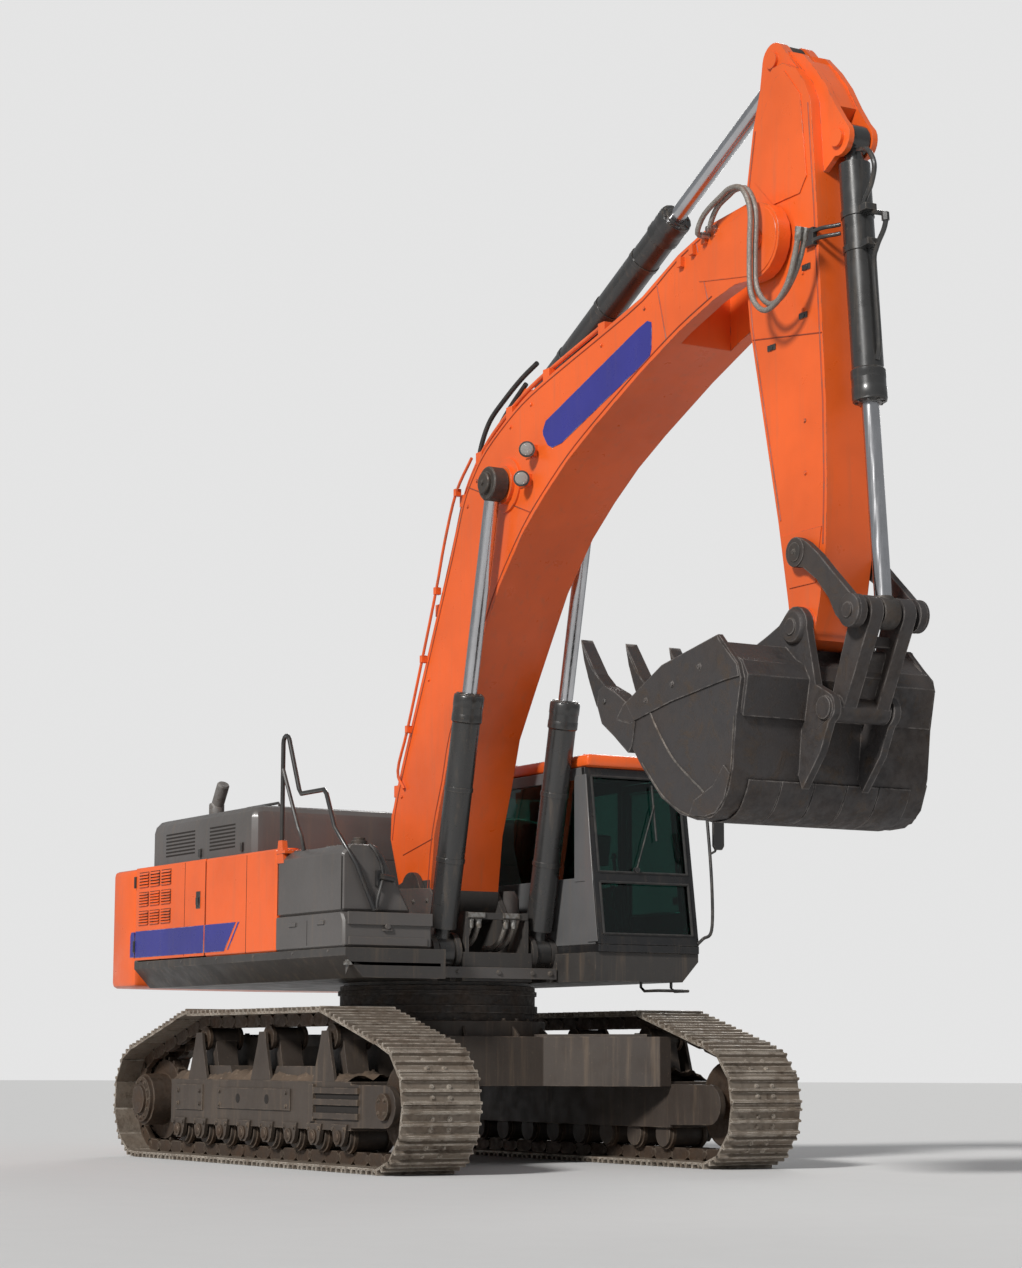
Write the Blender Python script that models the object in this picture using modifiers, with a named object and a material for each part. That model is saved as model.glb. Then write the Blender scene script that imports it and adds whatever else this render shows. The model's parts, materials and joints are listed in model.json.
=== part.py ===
"""Crawler excavator: an assembly of named pieces with real pivots.

Metres, +Z up, +X to the front, +Y to the machine's left.  Outlines are drawn
with x = 0 and y = 0 on the slew axis and z = 0 on the ground.  The empty
'machine_origin' then moves everything so that the world origin is under the
middle of the whole machine's box.
"""
import math

import bmesh
import bpy
from mathutils import Matrix, Vector

# ---- fits --------------------------------------------------------------
SEAT_GAP = 0.0003          # between pieces that rest on each other
MOVE_GAP = 0.006           # between pieces that move past each other
OVERLAP = 0.01             # how far parts of one welded piece run into each other
ROUND_SIDES = 16
BELT_STEP = 12             # degrees between corners of a belt around a wheel

# ---- tracks and lower frame ------------------------------------------------
TUMBLER_DISTANCE = 4.27    # idler axle to sprocket axle
TRACK_END_RADIUS = 0.469   # outside of the shoes around idler and sprocket
TRACK_HEIGHT = 1.186
TOP_RUN_FRONT = 1.33       # where the top run turns down to the idler
TOP_RUN_REAR = -1.26
TOP_RUN_RADIUS = 0.16
TRACK_GAUGE = 2.748
SHOE_WIDTH = 0.623
SHOE_THICKNESS = 0.045
SHOE_COUNT = 49
SHOE_SLOT = 0.022
SHOE_SLOT_DEPTH = 0.014
LINK_WIDTH = 0.24
LINK_HEIGHT = 0.095
TRACK_FRAME_WIDTH = 0.42
TRACK_FRAME_BOTTOM = 0.29
TRACK_FRAME_TOP = 0.64
TRACK_FRAME_REAR = -1.62
TRACK_FRAME_FRONT = 1.60
FORK_PLATE = 0.05
ROLLER_RADIUS = 0.10
ROLLER_COUNT = 8
ROLLER_FIRST = -1.42
ROLLER_STEP = 0.41
CARRIER_RADIUS = 0.08
CARRIER_PLACES = (-1.10, 0.08, 1.16)
DRIVE_HUB_RADIUS = 0.21
CARBODY_BOTTOM = 0.60
CARBODY_TOP = 0.98
DRUM_TOP = 1.10
DRUM_RADIUS = 0.86
SLEW_RING_RADIUS = 0.78
SLEW_RING_BORE = 0.56
SLEW_RING_TOP = 1.375

# ---- upper structure ---------------------------------------------------------
UPPER_WIDTH = 2.967
DECK_BOTTOM = 1.40
DECK_TOP = 1.62
DECK_CHAMFER = 0.15
TAIL_RADIUS = 3.54
COUNTERWEIGHT_FRONT = -2.70
COUNTERWEIGHT_BOTTOM = 1.405
HOUSE_TOP = 2.42
SERVICE_DOOR_FRONT = -1.25
PANEL = 0.045              # thickness of a service door
FUEL_TANK_REAR = 0.086
FUEL_TANK_FRONT = 1.20
TOOL_BOX_FRONT = 1.25
TOOL_BOX_TOP = 1.885
TANK_INNER_Y = 0.64        # side tanks start this far from the middle
TANK_FRONT_INNER_Y = 0.88  # the fuel tank's inner side, at its foot
TANK_TOP_INNER_Y = 1.12
DECK_FRONT = 1.29
HOOD_TOP = 2.83
HOOD_SIDE = 1.36
HOOD_FRONT = -0.62
HOOD_WALL = 0.04
RAIL_RADIUS = 0.019

# ---- cab -----------------------------------------------------------------------
CAB_REAR = -0.40
CAB_FRONT_LOW = 1.55       # front of the cab at the floor
CAB_FRONT_HIGH = 1.34      # front of the cab under the roof
CAB_RIGHT = 0.555
CAB_LEFT = 1.48
CAB_WALL = 0.05
CAB_FLOOR_TOP = 1.68
CAB_ROOF_BOTTOM = 3.06
CAB_ROOF_TOP = 3.16
GLASS = 0.006
DOOR_REAR = 0.50
CAB_PILLAR = 0.055

# ---- boom, arm and bucket: pivots in side view (x, z) -------------------------
BOOM_FOOT = (0.19, 2.12)
BOOM_CYLINDER_FOOT = (0.82, 1.62)
BOOM_CYLINDER_HEAD = (1.62, 5.15)
ARM_PIVOT = (4.94, 6.24)
ARM_CYLINDER_FOOT = (1.55, 5.83)
ARM_CYLINDER_HEAD = (4.92, 7.54)
BUCKET_PIVOT = (5.26, 3.58)
LEVER_PIVOT = (5.28, 4.07)
LEVER_END = (5.86, 3.61)
LINK_END = (5.58, 3.02)
BUCKET_CYLINDER_FOOT = (5.61, 6.80)
LEVER_END_RADIUS = 0.11
NOSE_RADIUS = 0.26         # round end of the boom's fork

BOOM_WIDTH = 0.62
BOOM_CYLINDER_Y = 0.43
EYE_WIDTH = 0.13
ARM_WIDTH = 0.38
ARM_BOSS_WIDTH = 0.41
FORK_START = 3.88          # where the boom's nose splits around the arm
SIDE_PLATE = 0.055         # bucket ears and tilt levers
BUCKET_WIDTH = 1.56
BUCKET_PLATE = 0.035
TOOTH_COUNT = 5
TOOTH_WIDTH = 0.10
HOSE_RADIUS = 0.019
HOSE_BAR = (0.93, 1.90)    # crossbar that carries the boom hoses, in side view
HOSE_BAR_DEPTH = 0.05

BOOM_BARREL = 2.00         # pin to end of gland
BOOM_BARREL_RADIUS = 0.108
BOOM_ROD_RADIUS = 0.057
ARM_BARREL = 2.20
ARM_BARREL_RADIUS = 0.115
ARM_ROD_RADIUS = 0.060
BUCKET_BARREL = 1.80
BUCKET_BARREL_RADIUS = 0.105
BUCKET_ROD_RADIUS = 0.057
FOOT_PIN = 0.070
CYLINDER_PIN = 0.050
BORE_START = 0.24          # closed end of a cylinder's bore, from its foot pin
BOOM_ROD_INSIDE = 0.35     # how much rod is in the barrel as shown
ARM_ROD_INSIDE = 0.50
BUCKET_ROD_INSIDE = 0.35

# ---- worked out from the sizes above ---------------------------------------------
HALF_UPPER = UPPER_WIDTH / 2
HALF_BOOM = BOOM_WIDTH / 2
HALF_ARM = ARM_WIDTH / 2
HALF_BOSS = ARM_BOSS_WIDTH / 2
HALF_BUCKET = BUCKET_WIDTH / 2
CHAIN_DEPTH = SHOE_THICKNESS + LINK_HEIGHT
FRAME_INNER_Y = TRACK_GAUGE / 2 - TRACK_FRAME_WIDTH / 2
EAR_INNER = HALF_BOSS + MOVE_GAP
EAR_OUTER = EAR_INNER + SIDE_PLATE
FRONT_MOST = LEVER_END[0] + LEVER_END_RADIUS
ORIGIN_X = (FRONT_MOST - TAIL_RADIUS) / 2

pieces = bpy.data.collections.new("crawler_excavator")
cutters = bpy.data.collections.new("cutters")


# ---- helpers -----------------------------------------------------------------------
def clear_scene():
    for old in list(bpy.data.objects):
        bpy.data.objects.remove(old, do_unlink=True)
    for group in (pieces, cutters):
        bpy.context.scene.collection.children.link(group)


def paint(name, color, roughness, metallic=0.0, alpha=1.0):
    material = bpy.data.materials.new(name)
    material.use_nodes = True
    shader = material.node_tree.nodes["Principled BSDF"]
    shader.inputs["Base Color"].default_value = (*color, 1.0)
    shader.inputs["Roughness"].default_value = roughness
    shader.inputs["Metallic"].default_value = metallic
    shader.inputs["Alpha"].default_value = alpha
    return material


def add_object(name, mesh, material=None):
    made = bpy.data.objects.new(name, mesh)
    pieces.objects.link(made)
    if material:
        mesh.materials.append(material)
    return made


def mesh_from(name, bm):
    bmesh.ops.recalc_face_normals(bm, faces=bm.faces)
    mesh = bpy.data.meshes.new(name)
    bm.to_mesh(mesh)
    bm.free()
    return mesh


def box(name, x, y, z, material=None):
    """A box from its (low, high) pairs along x, y and z."""
    size = Vector((x[1] - x[0], y[1] - y[0], z[1] - z[0]))
    middle = Vector((x[1] + x[0], y[1] + y[0], z[1] + z[0])) / 2
    bm = bmesh.new()
    place = Matrix.Translation(middle) @ Matrix.Diagonal((*size, 1.0))
    bmesh.ops.create_cube(bm, size=1.0, matrix=place)
    return add_object(name, mesh_from(name, bm), material)


def rod(name, start, end, radius, material=None, sides=ROUND_SIDES, end_radius=None, spin=0.0):
    """A round bar between two points, its corners turned by spin radians."""
    start, end = Vector(start), Vector(end)
    turn = Vector((0, 0, 1)).rotation_difference(end - start).to_matrix().to_4x4()
    turn = turn @ Matrix.Rotation(spin, 4, "Z")
    bm = bmesh.new()
    place = Matrix.Translation((start + end) / 2) @ turn
    far_radius = radius if end_radius is None else end_radius
    bmesh.ops.create_cone(bm, cap_ends=True, segments=sides, radius1=radius,
                          radius2=far_radius, depth=(end - start).length, matrix=place)
    return add_object(name, mesh_from(name, bm), material)


def cross_pin(name, at, y, radius, material=None, sides=ROUND_SIDES):
    """A round bar along y through a side-view point."""
    return rod(name, (at[0], y[0], at[1]), (at[0], y[1], at[1]), radius, material, sides)


def running_hole(name, start, end, pin_radius, sides=ROUND_SIDES):
    """A hole whose flats sit just outside the corners of the pin that turns in it."""
    radius = (pin_radius + SEAT_GAP) / math.cos(math.pi / sides)
    return rod(name, start, end, radius, sides=sides, spin=math.pi / sides)


def cross_hole(name, at, y, pin_radius):
    """A running hole along y through a side-view point."""
    return running_hole(name, (at[0], y[0], at[1]), (at[0], y[1], at[1]), pin_radius)


def curve_to_mesh(name, curve_object):
    bpy.context.view_layer.update()
    graph = bpy.context.evaluated_depsgraph_get()
    mesh = bpy.data.meshes.new_from_object(curve_object.evaluated_get(graph))
    mesh.transform(curve_object.matrix_world)
    curve = curve_object.data
    bpy.data.objects.remove(curve_object)
    bpy.data.curves.remove(curve)
    bm = bmesh.new()
    bm.from_mesh(mesh)
    bpy.data.meshes.remove(mesh)
    bmesh.ops.remove_doubles(bm, verts=bm.verts, dist=0.00002)
    return mesh_from(name, bm)


def flat_shape(name, outlines, span, material=None, view="side"):
    """A flat outline with a thickness: 'side' is (x, z), 'plan' (x, y), 'front' (y, z)."""
    curve = bpy.data.curves.new(name + "_outline", "CURVE")
    curve.dimensions = "2D"
    curve.fill_mode = "BOTH"
    curve.extrude = abs(span[1] - span[0]) / 2
    for points in outlines:
        spline = curve.splines.new("POLY")
        spline.points.add(len(points) - 1)
        spline.use_cyclic_u = True
        for point, place in zip(spline.points, points):
            point.co = (place[0], place[1], 0.0, 1.0)
    drawn = bpy.data.objects.new(name + "_outline", curve)
    pieces.objects.link(drawn)
    middle = (span[0] + span[1]) / 2
    if view == "side":
        drawn.matrix_world = Matrix.Translation((0, middle, 0)) @ Matrix.Rotation(math.pi / 2, 4, "X")
    elif view == "plan":
        drawn.matrix_world = Matrix.Translation((0, 0, middle))
    else:
        upright = Matrix(((0, 0, 1, 0), (1, 0, 0, 0), (0, 1, 0, 0), (0, 0, 0, 1)))
        drawn.matrix_world = Matrix.Translation((middle, 0, 0)) @ upright
    return add_object(name, curve_to_mesh(name, drawn), material)


def tube(name, points, radius, material=None, resolution=2):
    curve = bpy.data.curves.new(name + "_path", "CURVE")
    curve.dimensions = "3D"
    curve.bevel_depth = radius
    curve.bevel_resolution = resolution
    curve.use_fill_caps = True
    spline = curve.splines.new("POLY")
    spline.points.add(len(points) - 1)
    for point, place in zip(spline.points, points):
        point.co = (*place, 1.0)
    drawn = bpy.data.objects.new(name + "_path", curve)
    pieces.objects.link(drawn)
    return add_object(name, curve_to_mesh(name, drawn), material)


def smooth_path(points, steps=6):
    """A smooth curve through the points of a hose's route."""
    ends = [2 * Vector(points[0]) - Vector(points[1])]
    ends_after = [2 * Vector(points[-1]) - Vector(points[-2])]
    knots = ends + [Vector(p) for p in points] + ends_after
    path = []
    for a, b, c, d in zip(knots, knots[1:], knots[2:], knots[3:]):
        for step in range(steps):
            t = step / steps
            path.append(0.5 * (2 * b + (c - a) * t + (2 * a - 5 * b + 4 * c - d) * t * t
                               + (3 * b - a - 3 * c + d) * t ** 3))
    path.append(Vector(points[-1]))
    return path


def arc(centre, radius, start, end, steps=8):
    """Points on an arc, angles in degrees from +x towards the second axis."""
    points = []
    for step in range(steps + 1):
        angle = math.radians(start + (end - start) * step / steps)
        points.append((centre[0] + radius * math.cos(angle), centre[1] + radius * math.sin(angle)))
    return points


def towards(start, end, distance):
    """The point this far from start on the line to end."""
    length = math.dist(start, end)
    return tuple(a + (b - a) * distance / length for a, b in zip(start, end))


def wrapped(circles, step=BELT_STEP):
    """The outline of a belt around (centre, radius) circles listed anticlockwise."""
    leaving = []
    for (a, radius_a), (b, radius_b) in zip(circles, circles[1:] + circles[:1]):
        heading = math.atan2(b[1] - a[1], b[0] - a[0])
        leaving.append(math.degrees(heading - math.acos((radius_a - radius_b) / math.dist(a, b))))
    points = []
    for index, (centre, radius) in enumerate(circles):
        turn = (leaving[index] - leaving[index - 1]) % 360
        steps = max(1, round(turn / step))
        points += arc(centre, radius, leaving[index - 1], leaving[index - 1] + turn, steps)
    return points


def boolean(target, other, operation):
    pieces.objects.unlink(other)
    cutters.objects.link(other)
    other.hide_render = True
    other.display_type = "WIRE"
    modifier = target.modifiers.new(operation.lower() + "_" + other.name, "BOOLEAN")
    modifier.operation = operation
    modifier.solver = "EXACT"
    modifier.object = other
    return target


def weld(target, *others):
    for other in others:
        boolean(target, other, "UNION")
    return target


def cut(target, *others):
    for other in others:
        boolean(target, other, "DIFFERENCE")
    return target


def bevel(target, width, segments=2, angle=40):
    modifier = target.modifiers.new("edges", "BEVEL")
    modifier.width = width
    modifier.segments = segments
    modifier.limit_method = "ANGLE"
    modifier.angle_limit = math.radians(angle)
    return target


def hang(pivot, *objects):
    """Give moving objects their joint's place as origin."""
    for piece in objects:
        piece.data.transform(Matrix.Translation(-Vector(pivot)))
        piece.location = pivot


def side_pivot(at, y=0.0):
    return (at[0], y, at[1])


def mirrored(span, side):
    """A (low, high) pair for a y span given on the right (-1) or left (1)."""
    low, high = span[0] * side, span[1] * side
    return (min(low, high), max(low, high))


# ---- materials ----------------------------------------------------------------------
clear_scene()
ORANGE = paint("orange_paint", (0.83, 0.12, 0.02), 0.35)
HOUSE_GREY = paint("dark_grey_paint", (0.075, 0.07, 0.068), 0.45)
FRAME_BROWN = paint("undercarriage_paint", (0.055, 0.042, 0.034), 0.6)
SHOE_STEEL = paint("shoe_steel", (0.25, 0.19, 0.14), 0.5, 0.8)
RING_STEEL = paint("ring_steel", (0.06, 0.05, 0.045), 0.5, 0.6)
BARREL_BLACK = paint("cylinder_paint", (0.03, 0.03, 0.03), 0.35)
CHROME = paint("chrome_rod", (0.75, 0.76, 0.78), 0.12, 1.0)
BUCKET_GREY = paint("bucket_paint", (0.045, 0.042, 0.044), 0.55, 0.3)
CAB_GREY = paint("cab_grey", (0.085, 0.085, 0.085), 0.45)
GLAZING = paint("tinted_glass", (0.02, 0.10, 0.08), 0.05, 0.0, 0.35)
SEAT_CLOTH = paint("seat_cloth", (0.03, 0.05, 0.05), 0.9)
ENGINE_IRON = paint("engine_iron", (0.10, 0.10, 0.10), 0.6, 0.5)
PIPE_STEEL = paint("exhaust_steel", (0.12, 0.10, 0.09), 0.5, 0.8)
HOSE = paint("hose_braid", (0.45, 0.42, 0.38), 0.4, 0.6)
RAIL_BLACK = paint("rail_paint", (0.02, 0.02, 0.02), 0.4)


# ---- tracks ----------------------------------------------------------------------------
def belt(inset):
    """The track's side outline, this far inside the shoes' outer faces."""
    end = TRACK_END_RADIUS
    high = TRACK_HEIGHT - TOP_RUN_RADIUS
    half = TUMBLER_DISTANCE / 2
    return wrapped([((-half, end), end - inset), ((half, end), end - inset),
                    ((TOP_RUN_FRONT - 0.06, high), TOP_RUN_RADIUS - inset),
                    ((TOP_RUN_REAR + 0.06, high), TOP_RUN_RADIUS - inset)])


def point_along(outline, distance):
    """The point and outward direction at a distance around a closed outline."""
    total = len(outline)
    for index in range(total):
        start, end = Vector(outline[index]), Vector(outline[(index + 1) % total])
        length = (end - start).length
        if distance <= length:
            way = (end - start).normalized()
            return start + way * distance, Vector((way.y, -way.x))
        distance -= length
    return Vector(outline[0]), Vector((1.0, 0.0))


def shoe_outline():
    """The belt outline with a slot between each two shoes."""
    outer = belt(0.0)
    around = sum(math.dist(a, b) for a, b in zip(outer, outer[1:] + outer[:1]))
    pitch = around / SHOE_COUNT
    points = []
    for shoe in range(SHOE_COUNT):
        start = shoe * pitch
        for offset, depth in ((0.0, SHOE_SLOT_DEPTH), (SHOE_SLOT, 0.0), (pitch - SHOE_SLOT, 0.0)):
            place, outward = point_along(outer, start + offset)
            points.append(tuple(place - outward * depth))
    return points


def make_track(side, word):
    middle = side * TRACK_GAUGE / 2
    half_shoe, half_link = SHOE_WIDTH / 2, LINK_WIDTH / 2
    shoes = flat_shape("track_" + word, [shoe_outline(), belt(SHOE_THICKNESS)],
                       (middle - half_shoe, middle + half_shoe), SHOE_STEEL)
    links = flat_shape("links_" + word, [belt(SHOE_THICKNESS - OVERLAP), belt(CHAIN_DEPTH)],
                       (middle - half_link, middle + half_link))
    return weld(shoes, links)


def make_track_frame(side, word):
    middle = side * TRACK_GAUGE / 2
    half = TRACK_FRAME_WIDTH / 2
    wheel_x = TUMBLER_DISTANCE / 2
    span = (middle - half, middle + half)
    frame = box("track_frame_" + word, (TRACK_FRAME_REAR, TRACK_FRAME_FRONT), span,
                (TRACK_FRAME_BOTTOM, TRACK_FRAME_TOP), FRAME_BROWN)
    additions = []
    for name, inner in (("outer", 1), ("inner", -1)):
        low, high = sorted((middle + inner * side * (half - FORK_PLATE), middle + inner * side * half))
        fork = [(TRACK_FRAME_FRONT - OVERLAP, TRACK_FRAME_BOTTOM + 0.02),
                *arc((wheel_x, TRACK_END_RADIUS), 0.15, -90, 90, 8),
                (TRACK_FRAME_FRONT - OVERLAP, TRACK_FRAME_TOP - 0.02)]
        additions.append(flat_shape(f"fork_{name}_{word}", [fork], (low, high)))
    drive_plate = [(TRACK_FRAME_REAR + OVERLAP, TRACK_FRAME_TOP),
                   *arc((-wheel_x, TRACK_END_RADIUS), DRIVE_HUB_RADIUS, 90, 270, 8),
                   (TRACK_FRAME_REAR + OVERLAP, TRACK_FRAME_BOTTOM)]
    low, high = sorted((middle - side * half, middle - side * (half - FORK_PLATE)))
    additions.append(flat_shape("drive_plate_" + word, [drive_plate], (low, high)))
    roller_z = CHAIN_DEPTH + SEAT_GAP + ROLLER_RADIUS
    for index in range(ROLLER_COUNT):
        at = (ROLLER_FIRST + index * ROLLER_STEP, roller_z)
        reach = (middle - half + 0.03, middle + half - 0.03)
        additions.append(cross_pin(f"roller_{index}_{word}", at, reach, ROLLER_RADIUS, sides=14))
    carrier_z = TRACK_HEIGHT - CHAIN_DEPTH - SEAT_GAP - CARRIER_RADIUS
    for index, x in enumerate(CARRIER_PLACES):
        reach = (middle - 0.13, middle + 0.13)
        additions.append(cross_pin(f"carrier_{index}_{word}", (x, carrier_z), reach,
                                   CARRIER_RADIUS, sides=14))
        foot = [(x - 0.17, TRACK_FRAME_TOP - OVERLAP), (x + 0.17, TRACK_FRAME_TOP - OVERLAP),
                (x + 0.07, carrier_z), (x - 0.07, carrier_z)]
        additions.append(flat_shape(f"carrier_foot_{index}_{word}", [foot],
                                    (middle - 0.09, middle + 0.09)))
    return weld(frame, *additions)


def make_wheels(side, word):
    middle = side * TRACK_GAUGE / 2
    wheel_x = TUMBLER_DISTANCE / 2
    rim = (TRACK_END_RADIUS - CHAIN_DEPTH) * math.cos(math.radians(BELT_STEP / 2)) - SEAT_GAP
    inside = TRACK_FRAME_WIDTH / 2 - FORK_PLATE - SEAT_GAP
    idler = cross_pin("idler_" + word, (wheel_x, TRACK_END_RADIUS), (middle - 0.05, middle + 0.05),
                      rim, SHOE_STEEL, 32)
    hub = cross_pin("idler_hub_" + word, (wheel_x, TRACK_END_RADIUS),
                    (middle - inside, middle + inside), 0.11)
    weld(idler, hub)
    sprocket = cross_pin("sprocket_" + word, (-wheel_x, TRACK_END_RADIUS),
                         (middle - 0.045, middle + 0.045), rim, SHOE_STEEL, 32)
    reach = sorted((middle - side * inside, middle + side * (TRACK_FRAME_WIDTH / 2 + 0.02)))
    drive = cross_pin("final_drive_" + word, (-wheel_x, TRACK_END_RADIUS), reach, DRIVE_HUB_RADIUS)
    weld(sprocket, drive)


def make_undercarriage():
    leg_x, neck_x, neck_y = 1.62, 0.95, 0.62
    reach = FRAME_INNER_Y - SEAT_GAP
    quarter = [(neck_x, 0.0), (neck_x, neck_y - 0.2), (leg_x, reach - 0.1), (leg_x, reach),
               (leg_x - 0.55, reach), (0.40, 0.86)]
    outline = quarter + [(-x, y) for x, y in reversed(quarter)]
    outline += [(-x, -y) for x, y in quarter[1:]] + [(x, -y) for x, y in reversed(quarter[1:])]
    carbody = flat_shape("carbody", [outline], (CARBODY_BOTTOM, CARBODY_TOP), FRAME_BROWN, "plan")
    drum = rod("carbody_drum", (0, 0, CARBODY_BOTTOM + 0.05), (0, 0, DRUM_TOP), DRUM_RADIUS, sides=32)
    weld(carbody, drum)
    ring = flat_shape("slew_ring", [arc((0, 0), SLEW_RING_RADIUS, 0, 352.5, 47),
                                    arc((0, 0), SLEW_RING_BORE, 0, 345, 23)],
                      (DRUM_TOP + SEAT_GAP, SLEW_RING_TOP), RING_STEEL, "plan")
    ring.data.materials[0] = RING_STEEL
    for side, word in ((-1, "right"), (1, "left")):
        make_track(side, word)
        make_track_frame(side, word)
        make_wheels(side, word)


# ---- upper structure ------------------------------------------------------------------
def make_revolving_frame():
    low_half = HALF_UPPER - DECK_CHAMFER
    low = (DECK_BOTTOM, DECK_BOTTOM + 0.16)
    profile = [(-low_half, low[0]), (low_half, low[0]), (HALF_UPPER, low[1]), (HALF_UPPER, DECK_TOP),
               (-HALF_UPPER, DECK_TOP), (-HALF_UPPER, low[1])]
    rear = COUNTERWEIGHT_FRONT + SEAT_GAP
    cab_front = CAB_FRONT_LOW - 0.02
    deck = flat_shape("revolving_frame", [profile], (rear, cab_front), HOUSE_GREY, "front")
    right_bay = box("cut_right_front", (DECK_FRONT, cab_front + 0.1), (-HALF_UPPER - 0.1, -TANK_INNER_Y + 0.01),
                    (DECK_BOTTOM - 0.1, DECK_TOP + 0.1))
    middle_bay = box("cut_middle_front", (0.96, cab_front + 0.2), (-TANK_INNER_Y, CAB_RIGHT - 0.02),
                     (DECK_BOTTOM - 0.2, DECK_TOP + 0.2))
    cut(deck, right_bay, middle_bay)
    race = rod("upper_race", (0, 0, SLEW_RING_TOP + SEAT_GAP), (0, 0, DECK_BOTTOM + OVERLAP),
               SLEW_RING_RADIUS - 0.03, sides=32)
    additions = [race]
    plate_in = HALF_BOOM + MOVE_GAP
    eye_in = BOOM_CYLINDER_Y - EYE_WIDTH / 2 - MOVE_GAP
    eye_out = BOOM_CYLINDER_Y + EYE_WIDTH / 2 + MOVE_GAP
    tower = [(-0.62, DECK_TOP - OVERLAP), (-0.30, BOOM_FOOT[1] - 0.02),
             *arc(BOOM_FOOT, 0.15, 150, 20, 8), (0.60, 1.80),
             *arc(BOOM_CYLINDER_FOOT, 0.15, 75, -60, 8), (0.60, DECK_BOTTOM + 0.02),
             (-0.62, DECK_BOTTOM + 0.02)]
    ear = [(0.55, DECK_BOTTOM + 0.02), (0.55, 1.70), *arc(BOOM_CYLINDER_FOOT, 0.13, 120, -60, 8)]
    for side, word in ((-1, "right"), (1, "left")):
        additions.append(flat_shape("tower_" + word, [tower], mirrored((plate_in, eye_in), side)))
        additions.append(flat_shape("ear_" + word, [ear], mirrored((eye_out, eye_out + 0.05), side)))
        additions.append(cross_pin("foot_pin_" + word, BOOM_CYLINDER_FOOT,
                                   mirrored((eye_in - 0.02, eye_out + 0.03), side), CYLINDER_PIN))
        seat = box("door_seat_" + word, (rear + 0.0005, rear + 0.06),
                   mirrored((HALF_UPPER - PANEL, HALF_UPPER - 0.001), side),
                   (DECK_TOP - OVERLAP, DECK_TOP + 0.01))
        additions.append(seat)
    bay_low = BOOM_CYLINDER_FOOT[1] - 0.19
    for side, word in ((-1, "right"), (1, "left")):
        bay = box("cut_cylinder_" + word, (0.60, 1.2), mirrored((eye_in, eye_out), side),
                  (bay_low - 0.2, DECK_TOP + 0.1))
        sweep = box("cut_sweep_" + word, (0.86, 1.2), mirrored((eye_in - 0.05, eye_out + 0.03), side),
                    (bay_low - 0.2, DECK_TOP + 0.1))
        cut(deck, bay, sweep)
    boom_bay = box("cut_boom_bay", (-0.15, 0.55), (-plate_in, plate_in), (1.56, DECK_TOP + 0.1))
    cut(deck, boom_bay)
    bar_x, bar_z = HOSE_BAR
    half_bar = HALF_BOOM - 0.04
    additions.append(box("hose_bar", (bar_x - 0.03, bar_x + 0.03), (-half_bar, half_bar),
                         (bar_z - HOSE_BAR_DEPTH / 2, bar_z + HOSE_BAR_DEPTH / 2)))
    stand = [(0.66, DECK_TOP - OVERLAP), (bar_x - 0.07, bar_z + 0.03), (bar_x + 0.025, bar_z + 0.03),
             (bar_x + 0.025, DECK_TOP - OVERLAP)]
    for side, word in ((-1, "right"), (1, "left")):
        additions.append(flat_shape("hose_stand_" + word, [stand], mirrored((half_bar - 0.02, half_bar + 0.01), side)))
    weld(deck, *additions)
    pin = cross_pin("boom_foot_pin", BOOM_FOOT, (-plate_in - 0.02, plate_in + 0.02), FOOT_PIN)
    weld(deck, pin)
    return deck


def make_counterweight():
    corner = math.degrees(math.asin(HALF_UPPER / TAIL_RADIUS))
    outline = [(COUNTERWEIGHT_FRONT, HALF_UPPER), *arc((0, 0), TAIL_RADIUS, 180 - corner, 180 + corner, 12),
               (COUNTERWEIGHT_FRONT, -HALF_UPPER)]
    weight = flat_shape("counterweight", [outline], (COUNTERWEIGHT_BOTTOM, HOUSE_TOP), ORANGE, "plan")
    bevel(weight, 0.05, 2, 50)


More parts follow.
